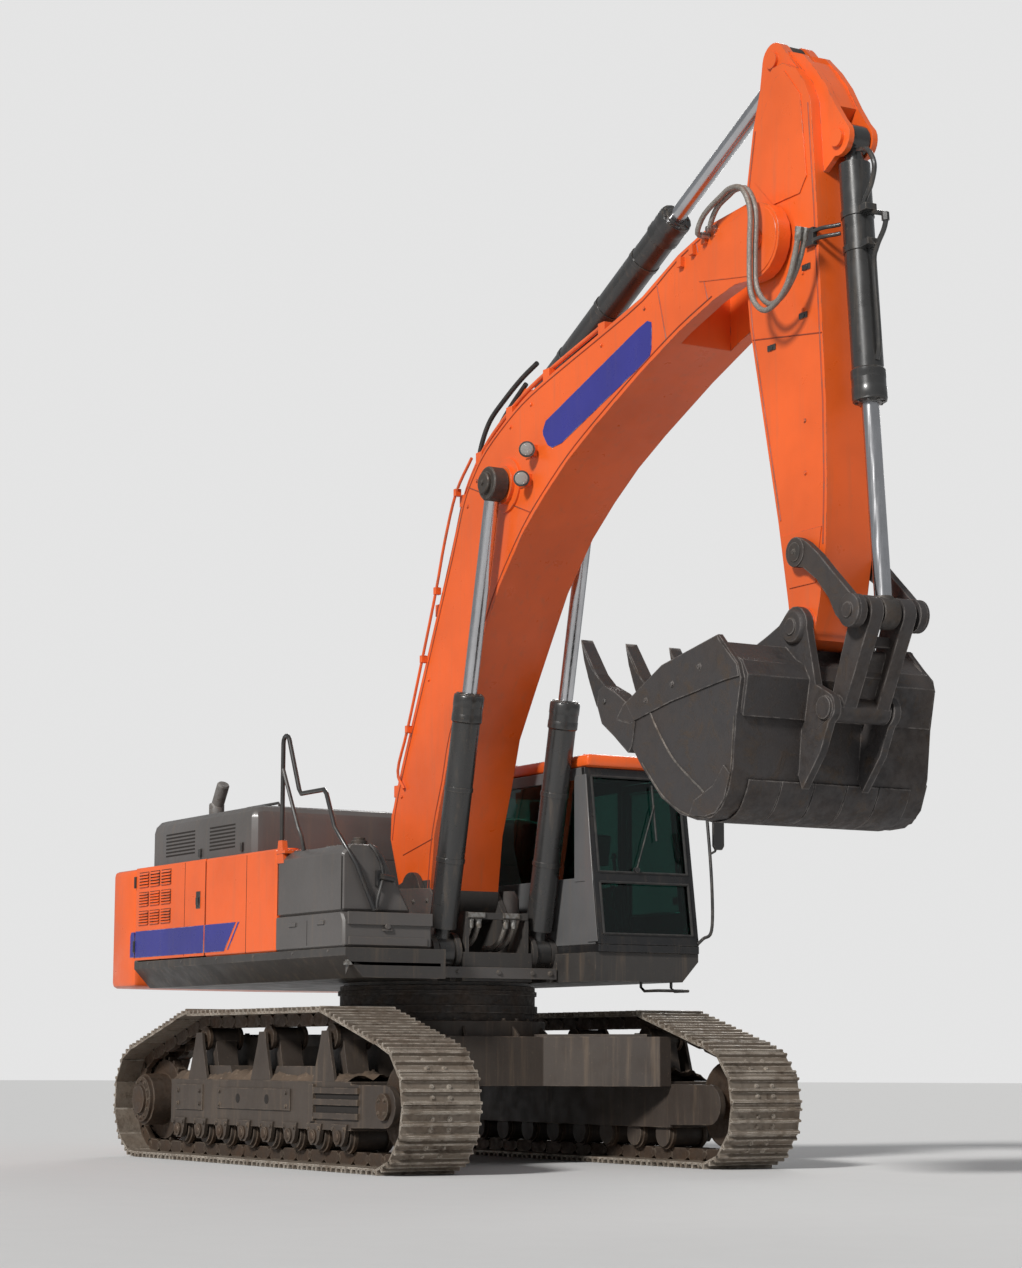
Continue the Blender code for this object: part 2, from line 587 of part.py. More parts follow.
def make_house():
    floor = DECK_TOP + SEAT_GAP
    rear = COUNTERWEIGHT_FRONT + SEAT_GAP
    split = SERVICE_DOOR_FRONT + MOVE_GAP
    box("engine_block", (-2.45, split - 0.03), (-0.72, 0.62), (floor, 2.34), ENGINE_IRON)
    hydraulic = box("hydraulic_tank", (split, FUEL_TANK_REAR - SEAT_GAP),
                    (-HALF_UPPER, -TANK_INNER_Y), (floor, HOUSE_TOP), ORANGE)
    bevel(hydraulic, 0.015, 1)
    cooler = box("cooler_housing", (split, CAB_REAR - 0.03), (0.70, HALF_UPPER),
                 (floor, HOUSE_TOP), ORANGE)
    bevel(cooler, 0.015, 1)
    edge = HALF_UPPER - PANEL - MOVE_GAP
    outline = [(rear, -edge), (split - SEAT_GAP, -edge), (split - SEAT_GAP, -TANK_INNER_Y + SEAT_GAP),
               (HOOD_FRONT, -TANK_INNER_Y + SEAT_GAP), (HOOD_FRONT, 0.70 - SEAT_GAP),
               (split - SEAT_GAP, 0.70 - SEAT_GAP), (split - SEAT_GAP, edge), (rear, edge)]
    hole = [(rear + 0.06, -edge + 0.06), (split - 0.06, -edge + 0.06), (split - 0.06, edge - 0.06),
            (rear + 0.06, edge - 0.06)]
    bay = flat_shape("engine_bay_frame", [outline, hole], (HOUSE_TOP - 0.06, HOUSE_TOP),
                     HOUSE_GREY, "plan")
    front = box("bay_front", (HOOD_FRONT - 0.05, HOOD_FRONT), (-TANK_INNER_Y + SEAT_GAP, 0.70 - SEAT_GAP),
                (floor, HOUSE_TOP - OVERLAP))
    weld(bay, front)
    for side, word in ((-1, "right"), (1, "left")):
        post = box("bay_post_" + word, (split - 0.07, split - SEAT_GAP), mirrored((edge - 0.05, edge), side),
                   (floor, HOUSE_TOP - OVERLAP))
        weld(bay, post)
        hinge_x = rear + MOVE_GAP
        door = box(word + "_side_door", (hinge_x, SERVICE_DOOR_FRONT),
                   mirrored((HALF_UPPER - PANEL, HALF_UPPER), side),
                   (DECK_TOP + 0.01 + SEAT_GAP, HOUSE_TOP), ORANGE)
        hang((hinge_x, side * HALF_UPPER, DECK_TOP), door)


def make_tanks():
    floor = DECK_TOP + SEAT_GAP
    ledge = TOOL_BOX_TOP + SEAT_GAP
    front_view = [(-HALF_UPPER + 0.012, ledge), (-TANK_FRONT_INNER_Y, ledge), (-TANK_TOP_INNER_Y, HOUSE_TOP - 0.10),
                  (-TANK_TOP_INNER_Y - 0.06, HOUSE_TOP - 0.03), (-HALF_UPPER + 0.07, HOUSE_TOP - 0.03),
                  (-HALF_UPPER + 0.012, HOUSE_TOP - 0.10)]
    tank = flat_shape("fuel_tank", [front_view], (FUEL_TANK_REAR, FUEL_TANK_FRONT), HOUSE_GREY, "front")
    bevel(tank, 0.02, 1)
    cover = [(FUEL_TANK_REAR, floor), (TOOL_BOX_FRONT, floor), (TOOL_BOX_FRONT, TOOL_BOX_TOP - 0.07),
             (TOOL_BOX_FRONT - 0.04, TOOL_BOX_TOP), (FUEL_TANK_REAR, TOOL_BOX_TOP)]
    tools = flat_shape("tool_box", [cover], (-HALF_UPPER, -TANK_INNER_Y - 0.09), HOUSE_GREY)
    bevel(tools, 0.018, 1)


def make_hood():
    rear = COUNTERWEIGHT_FRONT + MOVE_GAP
    low = HOUSE_TOP + SEAT_GAP
    top = HOOD_TOP
    hood = box("engine_hood", (rear, HOOD_FRONT), (-HOOD_SIDE, HOOD_SIDE), (low - 0.3, top), HOUSE_GREY)
    bevel(hood, 0.11, 3, 30)
    cut(hood, box("cut_hood_base", (rear - 0.1, HOOD_FRONT + 0.1), (-HOOD_SIDE - 0.1, HOOD_SIDE + 0.1),
                  (low - 0.4, low)))
    inside = box("cut_hood", (rear + HOOD_WALL, HOOD_FRONT - HOOD_WALL),
                 (-HOOD_SIDE + HOOD_WALL, HOOD_SIDE - HOOD_WALL), (low - 0.2, top - HOOD_WALL))
    bevel(inside, 0.09, 2, 30)
    cut(hood, inside)
    stack = rod("exhaust_pipe", (-2.30, -0.92, top + SEAT_GAP), (-2.30, -0.92, top + 0.16), 0.055,
                PIPE_STEEL)
    tip = rod("exhaust_tip", (-2.30, -0.92, top + 0.12), (-2.12, -0.92, top + 0.42), 0.055)
    weld(stack, tip)
    hang((rear, 0.0, low), hood, stack)


def make_handrail():
    y = -HALF_UPPER + 0.10
    foot = HOUSE_TOP - 0.03 + SEAT_GAP
    ledge = TOOL_BOX_TOP + SEAT_GAP
    front = FUEL_TANK_FRONT + RAIL_RADIUS + 0.012
    crown = arc((0.235, 3.24), 0.055, 180, 20, 4)
    side_run = [(0.18, foot), (0.18, 3.20), *crown, (0.42, 2.84), (0.47, 2.81), (0.84, 2.81), (0.89, 2.77),
                (1.10, 2.54), (front, 2.44)]
    route = [(x, y, z) for x, z in side_run] + [(front, y + 0.02, 2.20), (front, y + 0.10, ledge)]
    tube("handrail", route, RAIL_RADIUS, RAIL_BLACK)
    inner = -TANK_TOP_INNER_Y - 0.10
    grab = [(FUEL_TANK_FRONT - 0.13, inner, foot), (FUEL_TANK_FRONT - 0.13, inner, 2.48), (FUEL_TANK_FRONT - 0.03, inner, 2.53),
            (front + 0.03, inner, 2.46), (front + 0.03, inner + 0.02, 2.20), (front, inner, 2.05), (front, inner, ledge)]
    tube("grab_rail", grab, RAIL_RADIUS, RAIL_BLACK)


# ---- cab --------------------------------------------------------------------------------
def front_x(z):
    """The cab's front face at this height."""
    share = (z - CAB_FLOOR_TOP) / (CAB_ROOF_BOTTOM - CAB_FLOOR_TOP)
    return CAB_FRONT_LOW + (CAB_FRONT_HIGH - CAB_FRONT_LOW) * share


def slanted(rear, front_inset, low, high):
    """A side-view panel whose front edge follows the windscreen."""
    return [(rear, low), (front_x(low) - front_inset, low), (front_x(high) - front_inset, high),
            (rear, high)]


def leaning(name, y, z, inset, thickness, material=None):
    """A flat panel that leans with the windscreen, as a side-view strip."""
    strip = [(front_x(z[0]) - inset, z[0]), (front_x(z[0]) - inset - thickness, z[0]),
             (front_x(z[1]) - inset - thickness, z[1]), (front_x(z[1]) - inset, z[1])]
    return flat_shape(name, [strip], y, material)


def pane(name, outline, y, material):
    return flat_shape(name, [outline], y, material)


def make_cab():
    low, high = CAB_FLOOR_TOP + SEAT_GAP, CAB_ROOF_BOTTOM
    rear_face = CAB_REAR + CAB_WALL
    span = (CAB_RIGHT, CAB_LEFT)
    box("cab_floor", (CAB_REAR, CAB_FRONT_LOW), span, (DECK_TOP + SEAT_GAP, CAB_FLOOR_TOP), CAB_GREY)
    roof = box("cab_roof", (CAB_REAR, CAB_FRONT_HIGH + 0.05), span,
               (CAB_ROOF_BOTTOM + SEAT_GAP, CAB_ROOF_TOP), ORANGE)
    bevel(roof, 0.03, 2)

    rear_glass = ((CAB_RIGHT + 0.14, CAB_LEFT - 0.14), (2.26, 2.96))
    rear = box("cab_rear_wall", (CAB_REAR, rear_face), span, (low, high), CAB_GREY)
    cut(rear, box("cut_rear_window", (CAB_REAR - 0.1, rear_face + 0.1), *rear_glass))
    seat = [(side[0] + SEAT_GAP, side[1] - SEAT_GAP) for side in rear_glass]
    box("rear_window", (CAB_REAR + 0.02, CAB_REAR + 0.02 + GLASS), *seat, GLAZING)

    inner = rear_face + SEAT_GAP
    wall_inset = CAB_WALL + SEAT_GAP
    walls = slanted(inner, wall_inset, low, high)
    right = flat_shape("cab_right_wall", [walls], (CAB_RIGHT, CAB_RIGHT + CAB_WALL), CAB_GREY)
    glass_inset = wall_inset + CAB_PILLAR
    opening = slanted(inner + 0.06, glass_inset, 2.20, 2.97)
    cut(right, flat_shape("cut_right_window", [opening], (CAB_RIGHT - 0.1, CAB_RIGHT + 0.2)))
    glass = slanted(inner + 0.06 + SEAT_GAP, glass_inset + SEAT_GAP, 2.20 + SEAT_GAP, 2.97 - SEAT_GAP)
    pane("right_window", glass, (CAB_RIGHT + 0.02, CAB_RIGHT + 0.02 + GLASS), GLAZING)

    outer = (CAB_LEFT - CAB_WALL, CAB_LEFT)
    left = flat_shape("cab_left_wall", [walls], outer, CAB_GREY)
    reach = (CAB_LEFT - 0.2, CAB_LEFT + 0.1)
    doorway = slanted(DOOR_REAR, glass_inset, low + 0.04, high - 0.04)
    cut(left, flat_shape("cut_doorway", [doorway], reach))
    quarter = [(inner + 0.06, 2.20), (DOOR_REAR - 0.06, 2.20), (DOOR_REAR - 0.06, 2.97), (inner + 0.06, 2.97)]
    cut(left, flat_shape("cut_quarter_window", [quarter], reach))
    shrink = SEAT_GAP
    fitted = [(inner + 0.06 + shrink, 2.20 + shrink), (DOOR_REAR - 0.06 - shrink, 2.20 + shrink),
              (DOOR_REAR - 0.06 - shrink, 2.97 - shrink), (inner + 0.06 + shrink, 2.97 - shrink)]
    pane("quarter_window", fitted, (CAB_LEFT - 0.03 - GLASS, CAB_LEFT - 0.03), GLAZING)
    sill = low + 0.04
    pad = box("door_pad", (DOOR_REAR + MOVE_GAP, DOOR_REAR + 0.05), (CAB_LEFT - CAB_WALL + 0.001, CAB_LEFT - 0.001),
              (sill - OVERLAP, sill + MOVE_GAP))
    weld(left, pad)

    front = leaning("cab_front_frame", span, (low, high), 0.0, CAB_WALL, CAB_GREY)
    openings = (("windshield", (2.24, 2.99)), ("lower_windshield", (1.76, 2.16)))
    for word, z in openings:
        sides = (CAB_RIGHT + CAB_PILLAR, CAB_LEFT - CAB_PILLAR)
        cut(front, leaning("cut_" + word, sides, z, -0.1, CAB_WALL + 0.2))
        fit = tuple(sides[i] + SEAT_GAP * (1 - 2 * i) for i in (0, 1))
        leaning(word, fit, (z[0] + SEAT_GAP, z[1] - SEAT_GAP), 0.02, GLASS, GLAZING)

    make_cab_door(sill, high, glass_inset)
    make_cab_inside()


def make_cab_door(sill, high, inset):
    low, top = sill + MOVE_GAP + SEAT_GAP, high - 0.04 - MOVE_GAP
    rear = DOOR_REAR + MOVE_GAP
    outline = slanted(rear, inset + MOVE_GAP, low, top)
    door = flat_shape("cab_door", [outline], (CAB_LEFT - CAB_WALL, CAB_LEFT), CAB_GREY)
    opening = slanted(rear + 0.06, inset + MOVE_GAP + 0.06, 1.95, top - 0.06)
    cut(door, flat_shape("cut_door_window", [opening], (CAB_LEFT - 0.2, CAB_LEFT + 0.1)))
    glass = slanted(rear + 0.06 + SEAT_GAP, inset + MOVE_GAP + 0.06 + SEAT_GAP, 1.95 + SEAT_GAP,
                    top - 0.06 - SEAT_GAP)
    window = pane("door_window", glass, (CAB_LEFT - 0.03 - GLASS, CAB_LEFT - 0.03), GLAZING)
    hang((rear, CAB_LEFT, low), door, window)


def make_cab_inside():
    middle = (CAB_RIGHT + CAB_LEFT) / 2
    floor = CAB_FLOOR_TOP + SEAT_GAP
    seat = box("operator_seat", (0.05, 0.55), (middle - 0.25, middle + 0.25), (floor, 1.98), SEAT_CLOTH)
    cushion = box("seat_cushion", (0.0, 0.58), (middle - 0.27, middle + 0.27), (1.95, 2.14))
    back = flat_shape("seat_back", [[(0.02, 2.0), (0.20, 2.0), (0.06, 2.80), (-0.08, 2.80)]],
                      (middle - 0.25, middle + 0.25))
    weld(seat, cushion, back)
    console_y = CAB_RIGHT + CAB_WALL + 0.01
    console = box("control_console", (0.15, 0.75), (console_y, console_y + 0.12), (floor, 2.24), HOUSE_GREY)
    lever = rod("control_lever", (0.66, console_y + 0.06, 2.2), (0.70, console_y + 0.06, 2.44), 0.02, sides=10)
    weld(console, lever)


# ---- cylinders ------------------------------------------------------------------------------
def make_cylinder(word, foot, head, y, size):
    """Barrel and rod between two side-view pins.

    size is (barrel length, where the barrel starts, barrel radius, rod radius, eye radius,
    how much rod is in the barrel as shown).
    """
    length, start, barrel_radius, rod_radius, eye_radius, rod_inside = size
    wall = (y - EYE_WIDTH / 2, y + EYE_WIDTH / 2)

    def on_axis(distance):
        place = towards(foot, head, distance)
        return (place[0], y, place[1])

    body = rod(word + "_barrel", on_axis(start), on_axis(length), barrel_radius, BARREL_BLACK)
    gland = rod(word + "_gland", on_axis(length - 0.20), on_axis(length - 0.004), barrel_radius * 1.08)
    neck = rod(word + "_neck", on_axis(eye_radius * 0.5), on_axis(start + 0.02), EYE_WIDTH / 2 - 0.002)
    eye = cross_pin(word + "_foot_eye", foot, wall, eye_radius)
    weld(body, neck, eye, gland)
    bore = running_hole("cut_" + word + "_bore", on_axis(BORE_START), on_axis(length + 0.1), rod_radius)
    hole = cross_hole("cut_" + word + "_foot", foot, (wall[0] - 0.1, wall[1] + 0.1), CYLINDER_PIN)
    cut(body, bore, hole)
    full = math.dist(foot, head)
    shaft = rod(word + "_rod", on_axis(length - rod_inside), on_axis(full - eye_radius * 0.6), rod_radius, CHROME)
    head_eye = cross_pin(word + "_head_eye", head, wall, eye_radius)
    weld(shaft, head_eye)
    return body, shaft


# ---- boom -----------------------------------------------------------------------------------
def make_boom():
    outline = [*arc(BOOM_FOOT, 0.24, 200, 345, 8),
               (0.50, 2.56), (0.65, 2.95), (0.77, 3.31), (1.03, 3.70), (1.27, 4.05), (1.50, 4.38),
               (1.87, 4.755), (2.18, 4.98), (2.52, 5.19), (2.89, 5.37), (3.51, 5.64), (4.01, 5.83),
               (4.42, 5.95), (4.68, 6.00), *arc(ARM_PIVOT, NOSE_RADIUS, -95, 75, 9), (4.86, 6.53),
               (4.43, 6.50), (3.99, 6.38), (3.53, 6.19), (2.96, 6.05), (2.43, 5.93), (1.95, 5.81),
               (1.63, 5.69), (1.28, 5.51), (1.08, 5.34), (0.92, 5.14), (0.74, 4.74), (-0.14, 2.93),
               (-0.23, 2.75), (-0.24, 2.56)]
    boom = flat_shape("boom", [outline], (-HALF_BOOM, HALF_BOOM), ORANGE)
    fork = box("cut_fork", (FORK_START, 5.2), (-HALF_BOSS - MOVE_GAP, HALF_BOSS + MOVE_GAP), (5.5, 7.0))
    pivot_hole = cross_hole("cut_boom_foot", BOOM_FOOT, (-0.5, 0.5), FOOT_PIN)
    cut(boom, fork, pivot_hole)
    additions = [cross_pin("arm_pin", ARM_PIVOT, (-HALF_BOOM - 0.03, HALF_BOOM + 0.03), FOOT_PIN)]
    boss_end = BOOM_CYLINDER_Y - EYE_WIDTH / 2 - MOVE_GAP
    for side, word in ((-1, "right"), (1, "left")):
        additions.append(cross_pin("boom_boss_" + word, BOOM_CYLINDER_HEAD,
                                   mirrored((HALF_BOOM - OVERLAP, boss_end), side), 0.15))
        lug_in = EYE_WIDTH / 2 + MOVE_GAP
        lug = [(1.20, 5.42), *arc(ARM_CYLINDER_FOOT, 0.12, 160, 10, 8), (1.85, 5.70)]
        additions.append(flat_shape("arm_cylinder_lug_" + word, [lug],
                                    mirrored((lug_in, lug_in + 0.05), side)))
    additions.append(cross_pin("arm_cylinder_pin", ARM_CYLINDER_FOOT, (-0.13, 0.13), CYLINDER_PIN))
    weld(boom, *additions)
    boom_eye = 0.13
    size = (BOOM_BARREL, 0.19, BOOM_BARREL_RADIUS, BOOM_ROD_RADIUS, boom_eye, BOOM_ROD_INSIDE)
    for side, word in ((-1, "right"), (1, "left")):
        y = side * BOOM_CYLINDER_Y
        barrel, shaft = make_cylinder("boom_cylinder_" + word, BOOM_CYLINDER_FOOT, BOOM_CYLINDER_HEAD, y, size)
        outer = BOOM_CYLINDER_Y + EYE_WIDTH / 2
        cap = cross_pin("boom_pin_cap_" + word, BOOM_CYLINDER_HEAD,
                        mirrored((outer - OVERLAP, outer + 0.035), side), 0.085)
        weld(shaft, cap)
        hang(side_pivot(BOOM_CYLINDER_FOOT, y), barrel)
        hang(side_pivot(BOOM_CYLINDER_HEAD, y), shaft)
    size = (ARM_BARREL, 0.17, ARM_BARREL_RADIUS, ARM_ROD_RADIUS, 0.115, ARM_ROD_INSIDE)
    barrel, shaft = make_cylinder("arm_cylinder", ARM_CYLINDER_FOOT, ARM_CYLINDER_HEAD, 0.0, size)
    hang(side_pivot(ARM_CYLINDER_FOOT), barrel)
    hang(side_pivot(ARM_CYLINDER_HEAD), shaft)
    hang(side_pivot(BOOM_FOOT), boom)


# ---- arm ------------------------------------------------------------------------------------
def make_arm():
    outline = [(4.83, 7.34), (4.745, 7.08), (4.67, 6.72), (4.66, 6.40), (4.655, 6.0), (4.69, 5.70),
               (4.99, 4.32), (5.09, 3.77),
               *arc(BUCKET_PIVOT, 0.14, 185, 320, 8),
               (5.43, 3.72), (5.51, 4.10), (5.53, 4.50), (5.53, 5.03), (5.46, 6.39), (5.41, 7.10),
               (5.34, 7.26), (5.24, 7.38), (5.10, 7.46), (4.98, 7.46)]
    arm = flat_shape("arm", [outline], (-HALF_ARM, HALF_ARM), ORANGE)
    additions = []
    for word, at, radius in (("pivot", ARM_PIVOT, 0.20), ("tip", BUCKET_PIVOT, 0.13), ("lever", LEVER_PIVOT, 0.09)):
        additions.append(cross_pin(f"arm_{word}_boss", at, (-HALF_BOSS, HALF_BOSS), radius))
    lug_in = EYE_WIDTH / 2 + MOVE_GAP
    foot = BUCKET_CYLINDER_FOOT
    tail = [(4.70, 7.02), *arc(ARM_CYLINDER_HEAD, 0.125, 170, 40, 8), (5.30, 7.30), (5.30, 7.0)]
    base = [(5.06, 7.57), (5.22, 7.50), (5.36, 7.36), (5.47, 7.22), (5.57, 7.05), (5.66, 6.92),
            *arc(foot, 0.12, 30, -110, 8), (5.42, 6.60), (5.30, 6.4)]
    hood = [(5.22, 7.20), (5.26, 7.445), (5.35, 7.35), (5.46, 7.21), (5.555, 7.045), (5.49, 6.98), (5.20, 6.99)]
    for side, word in ((-1, "right"), (1, "left")):
        additions.append(flat_shape("tail_ear_" + word, [tail], mirrored((lug_in, lug_in + 0.07), side)))
        additions.append(flat_shape("base_ear_" + word, [base], mirrored((lug_in + 0.004, lug_in + 0.045), side)))
        additions.append(cross_pin("tail_cap_" + word, ARM_CYLINDER_HEAD,
                                   mirrored((lug_in + 0.06, lug_in + 0.09), side), 0.06))
        additions.append(cross_pin("base_cap_" + word, foot, mirrored((lug_in + 0.035, lug_in + 0.07), side), 0.062))
    additions.append(cross_pin("base_pin", foot, (-lug_in - 0.02, lug_in + 0.02), CYLINDER_PIN))
    additions.append(flat_shape("hood_plate", [hood], (-lug_in - 0.02, lug_in + 0.02)))
    slot = [(4.4, 7.9), (4.4, 6.94), (4.86, 6.94), (5.19, 7.12), (5.26, 7.9)]
    cut(arm, flat_shape("cut_tail_slot", [slot], (-lug_in - 0.02, lug_in + 0.02)))
    weld(arm, *additions)
    for word, at, pin in (("pivot", ARM_PIVOT, FOOT_PIN), ("tip", BUCKET_PIVOT, 0.055)):
        cut(arm, cross_hole(f"cut_arm_{word}", at, (-0.5, 0.5), pin))
    lever_pin = cross_pin("lever_pin", LEVER_PIVOT, (-EAR_OUTER, EAR_OUTER), CYLINDER_PIN)
    weld(arm, lever_pin)
    size = (BUCKET_BARREL, 0.17, BUCKET_BARREL_RADIUS, BUCKET_ROD_RADIUS, 0.105, BUCKET_ROD_INSIDE)
    barrel, shaft = make_cylinder("bucket_cylinder", foot, LEVER_END, 0.0, size)
    hang(side_pivot(foot), barrel)
    hang(side_pivot(LEVER_END), shaft)
    hang(side_pivot(ARM_PIVOT), arm)


def bar_outline(start, end, start_radius, end_radius):
    return wrapped([(start, start_radius), (end, end_radius)], 20)


def make_linkage():
    inner = EYE_WIDTH / 2 + MOVE_GAP
    plates = HALF_BOSS - MOVE_GAP
    for side, word in ((-1, "right"), (1, "left")):
        bend = [(5.40, 4.12), (5.52, 4.03), (5.66, 3.90), (5.80, 3.775),
                *arc(LEVER_END, LEVER_END_RADIUS, 90, -130, 9), (5.70, 3.60), (5.63, 3.72), (5.50, 3.86),
                (5.36, 3.955), *arc(LEVER_PIVOT, 0.10, 280, 60, 9)]
        lever = flat_shape("tilt_lever_" + word, [bend], mirrored((EAR_INNER, EAR_OUTER), side), BUCKET_GREY)
        pin = cross_pin("lever_stub_" + word, LEVER_END, mirrored((inner, EAR_INNER + OVERLAP), side), 0.055)
        weld(lever, pin)
        cut(lever, cross_hole("cut_lever_" + word, LEVER_PIVOT,
                              mirrored((EAR_INNER - 0.05, EAR_OUTER + 0.05), side), CYLINDER_PIN))
        hang(side_pivot(LEVER_PIVOT), lever)
    link = cross_pin("power_link", LINK_END, (-plates, plates), 0.085, BUCKET_GREY)
    additions = []
    for side, word in ((-1, "right"), (1, "left")):
        bar = flat_shape("link_bar_" + word, [bar_outline(LEVER_END, LINK_END, 0.105, 0.075)],
                         mirrored((inner + 0.01, plates - 0.02), side))
        additions.append(bar)
    web_from = towards(LEVER_END, LINK_END, 0.28)
    web_to = towards(LEVER_END, LINK_END, 0.56)
    additions.append(flat_shape("link_web", [bar_outline(web_from, web_to, 0.025, 0.025)],
                                (-inner - 0.03, inner + 0.03)))
    weld(link, *additions)
    cut(link, cross_hole("cut_link", LEVER_END, (-0.4, 0.4), 0.055))
    hang(side_pivot(LEVER_END), link)


# ---- bucket ----------------------------------------------------------------------------------
def make_bucket():
    wall = BUCKET_PLATE
    outer = [(3.95, 3.06), (4.22, 2.74), (4.46, 2.51), (4.68, 2.385), (4.88, 2.33), (5.04, 2.335), (5.16, 2.39),
             (5.24, 2.50), (5.29, 2.64), (5.31, 2.80), (5.33, 2.96), (5.385, 3.20), (5.35, 3.30), (5.16, 3.46)]
    inner = [(5.135, 3.43), (5.315, 3.27), (5.345, 3.20), (5.29, 2.965), (5.27, 2.80), (5.25, 2.65), (5.205, 2.52),
             (5.14, 2.425), (5.03, 2.37), (4.89, 2.365), (4.70, 2.42), (4.48, 2.54), (4.25, 2.765), (3.99, 3.09)]
    half_inner = HALF_BUCKET - wall
    shell = flat_shape("bucket", [outer + inner], (-half_inner - 0.005, half_inner + 0.005), BUCKET_GREY)
    side_plate = outer[:-1] + [(5.14, 3.51), (4.49, 3.39), (4.02, 3.17)]
    ear = [(4.56, 3.40), (4.78, 3.50), (4.96, 3.56), (5.09, 3.61), *arc(BUCKET_PIVOT, 0.135, 140, -10, 7),
           (5.43, 3.40), (5.48, 3.18), *arc(LINK_END, 0.10, 70, -70, 6), (5.52, 2.74), (5.32, 2.52), (5.28, 2.62),
           (5.30, 2.80), (5.33, 3.10), (5.37, 3.20), (5.33, 3.28), (5.11, 3.39), (4.60, 3.34)]
    box_beam = [(4.50, 3.37), (4.56, 3.33), (5.10, 3.37), (5.32, 3.26), (5.36, 3.20), (5.32, 3.00), (5.36, 2.96),
                (5.42, 3.22), (5.36, 3.32), (5.17, 3.415), (5.10, 3.415)]
    additions = []
    for side, word in ((-1, "right"), (1, "left")):
        additions.append(flat_shape("bucket_side_" + word, [side_plate], mirrored((half_inner, HALF_BUCKET), side)))
        additions.append(flat_shape("bucket_ear_" + word, [ear], mirrored((EAR_INNER, EAR_OUTER), side)))
        additions.append(cross_pin("link_cap_" + word, LINK_END, mirrored((EAR_OUTER - OVERLAP, EAR_OUTER + 0.02), side),
                                   0.075))
    additions.append(flat_shape("bucket_box_beam", [box_beam], (-half_inner - 0.004, half_inner + 0.004)))
    additions.append(cross_pin("bucket_pin", BUCKET_PIVOT, (-EAR_OUTER - 0.02, EAR_OUTER + 0.02), 0.055))
    tooth = [(3.46, 3.68), (3.55, 3.41), (3.72, 3.12), (3.90, 3.02), (4.05, 2.87), (4.085, 2.90), (4.13, 3.01),
             (4.02, 3.16), (3.93, 3.24), (3.72, 3.34)]
    step = (BUCKET_WIDTH - TOOTH_WIDTH) / (TOOTH_COUNT - 1)
    for index in range(TOOTH_COUNT):
        y = -HALF_BUCKET + TOOTH_WIDTH / 2 + index * step
        additions.append(flat_shape(f"tooth_{index}", [tooth], (y - TOOTH_WIDTH / 2, y + TOOTH_WIDTH / 2)))
    weld(shell, *additions)
    hang(side_pivot(BUCKET_PIVOT), shell)


# ---- hoses ------------------------------------------------------------------------------------
def make_hoses():
    low = DECK_TOP + 0.04
    top = HOSE_BAR[1] - HOSE_BAR_DEPTH / 2 - SEAT_GAP
    for index, y in enumerate((-0.225, -0.155, 0.085, 0.155), start=1):
        route = [(HOSE_BAR[0] - 0.30, y, low), (HOSE_BAR[0] - 0.20, y, low + 0.005), (HOSE_BAR[0] - 0.08, y, low + 0.06),
                 (HOSE_BAR[0] - 0.01, y, low + 0.15), (HOSE_BAR[0], y, top - 0.03)]
        tube(f"boom_hose_{index}", smooth_path(route, 3) + [(HOSE_BAR[0], y, top)], HOSE_RADIUS, HOSE)
    for index, out in enumerate((0.367, 0.415), start=1):
        drop = 0.05 * (index - 1)
        start = (4.54 - 0.08 * index, 6.48 - 0.03 * index)
        route = [(start[0], -out, start[1]), (start[0] + 0.10, -out, start[1] + 0.11), (4.70, -out, 6.61),
                 (4.80, -out, 6.63), (4.93, -out, 6.59), (5.02, -out, 6.42), (5.01, -out, 6.15),
                 (5.02, -out, 5.90 - drop), (5.15, -out, 5.75 - drop), (5.30, -out, 5.76 - drop),
                 (5.44, -out, 5.87 - drop), (5.53, -out, 6.01), (5.57, -out, 6.14)]
        fitting = (start[0], -HALF_BOOM - SEAT_GAP, start[1])
        tube(f"arm_hose_{index}", [fitting] + smooth_path(route, 2), HOSE_RADIUS, HOSE)


def place_machine():
    origin = bpy.data.objects.new("machine_origin", None)
    pieces.objects.link(origin)
    origin.location = (-ORIGIN_X, 0.0, 0.0)
    for made in list(pieces.objects) + list(cutters.objects):
        if made is not origin:
            made.parent = origin


make_undercarriage()
make_revolving_frame()
make_counterweight()
make_house()
make_tanks()
make_hood()
make_handrail()
make_cab()
make_boom()
make_arm()
make_linkage()
make_bucket()
make_hoses()
place_machine()
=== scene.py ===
"""Finished looks of a crawler excavator, built around its packed frame.

Side-view places are given as (forward of the slewing axis, height) in metres.
"""
import json
import math

import bmesh
import bpy
from mathutils import Matrix, Vector, noise


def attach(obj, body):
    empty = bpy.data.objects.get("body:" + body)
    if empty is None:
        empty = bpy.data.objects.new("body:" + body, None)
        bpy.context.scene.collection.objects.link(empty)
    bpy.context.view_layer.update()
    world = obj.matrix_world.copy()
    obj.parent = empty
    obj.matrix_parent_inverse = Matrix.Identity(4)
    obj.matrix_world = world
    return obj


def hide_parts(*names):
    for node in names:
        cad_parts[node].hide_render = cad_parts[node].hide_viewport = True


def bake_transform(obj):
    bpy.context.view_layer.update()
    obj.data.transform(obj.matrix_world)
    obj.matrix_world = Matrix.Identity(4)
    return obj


bl_info = {
    "name": "Crawler Excavator Looks",
    "version": (1, 0, 0),
    "blender": (4, 5, 0),
    "location": "3D View > Sidebar > Excavator",
    "description": "Builds the finished surfaces and fittings of a crawler excavator",
    "category": "Object",
}

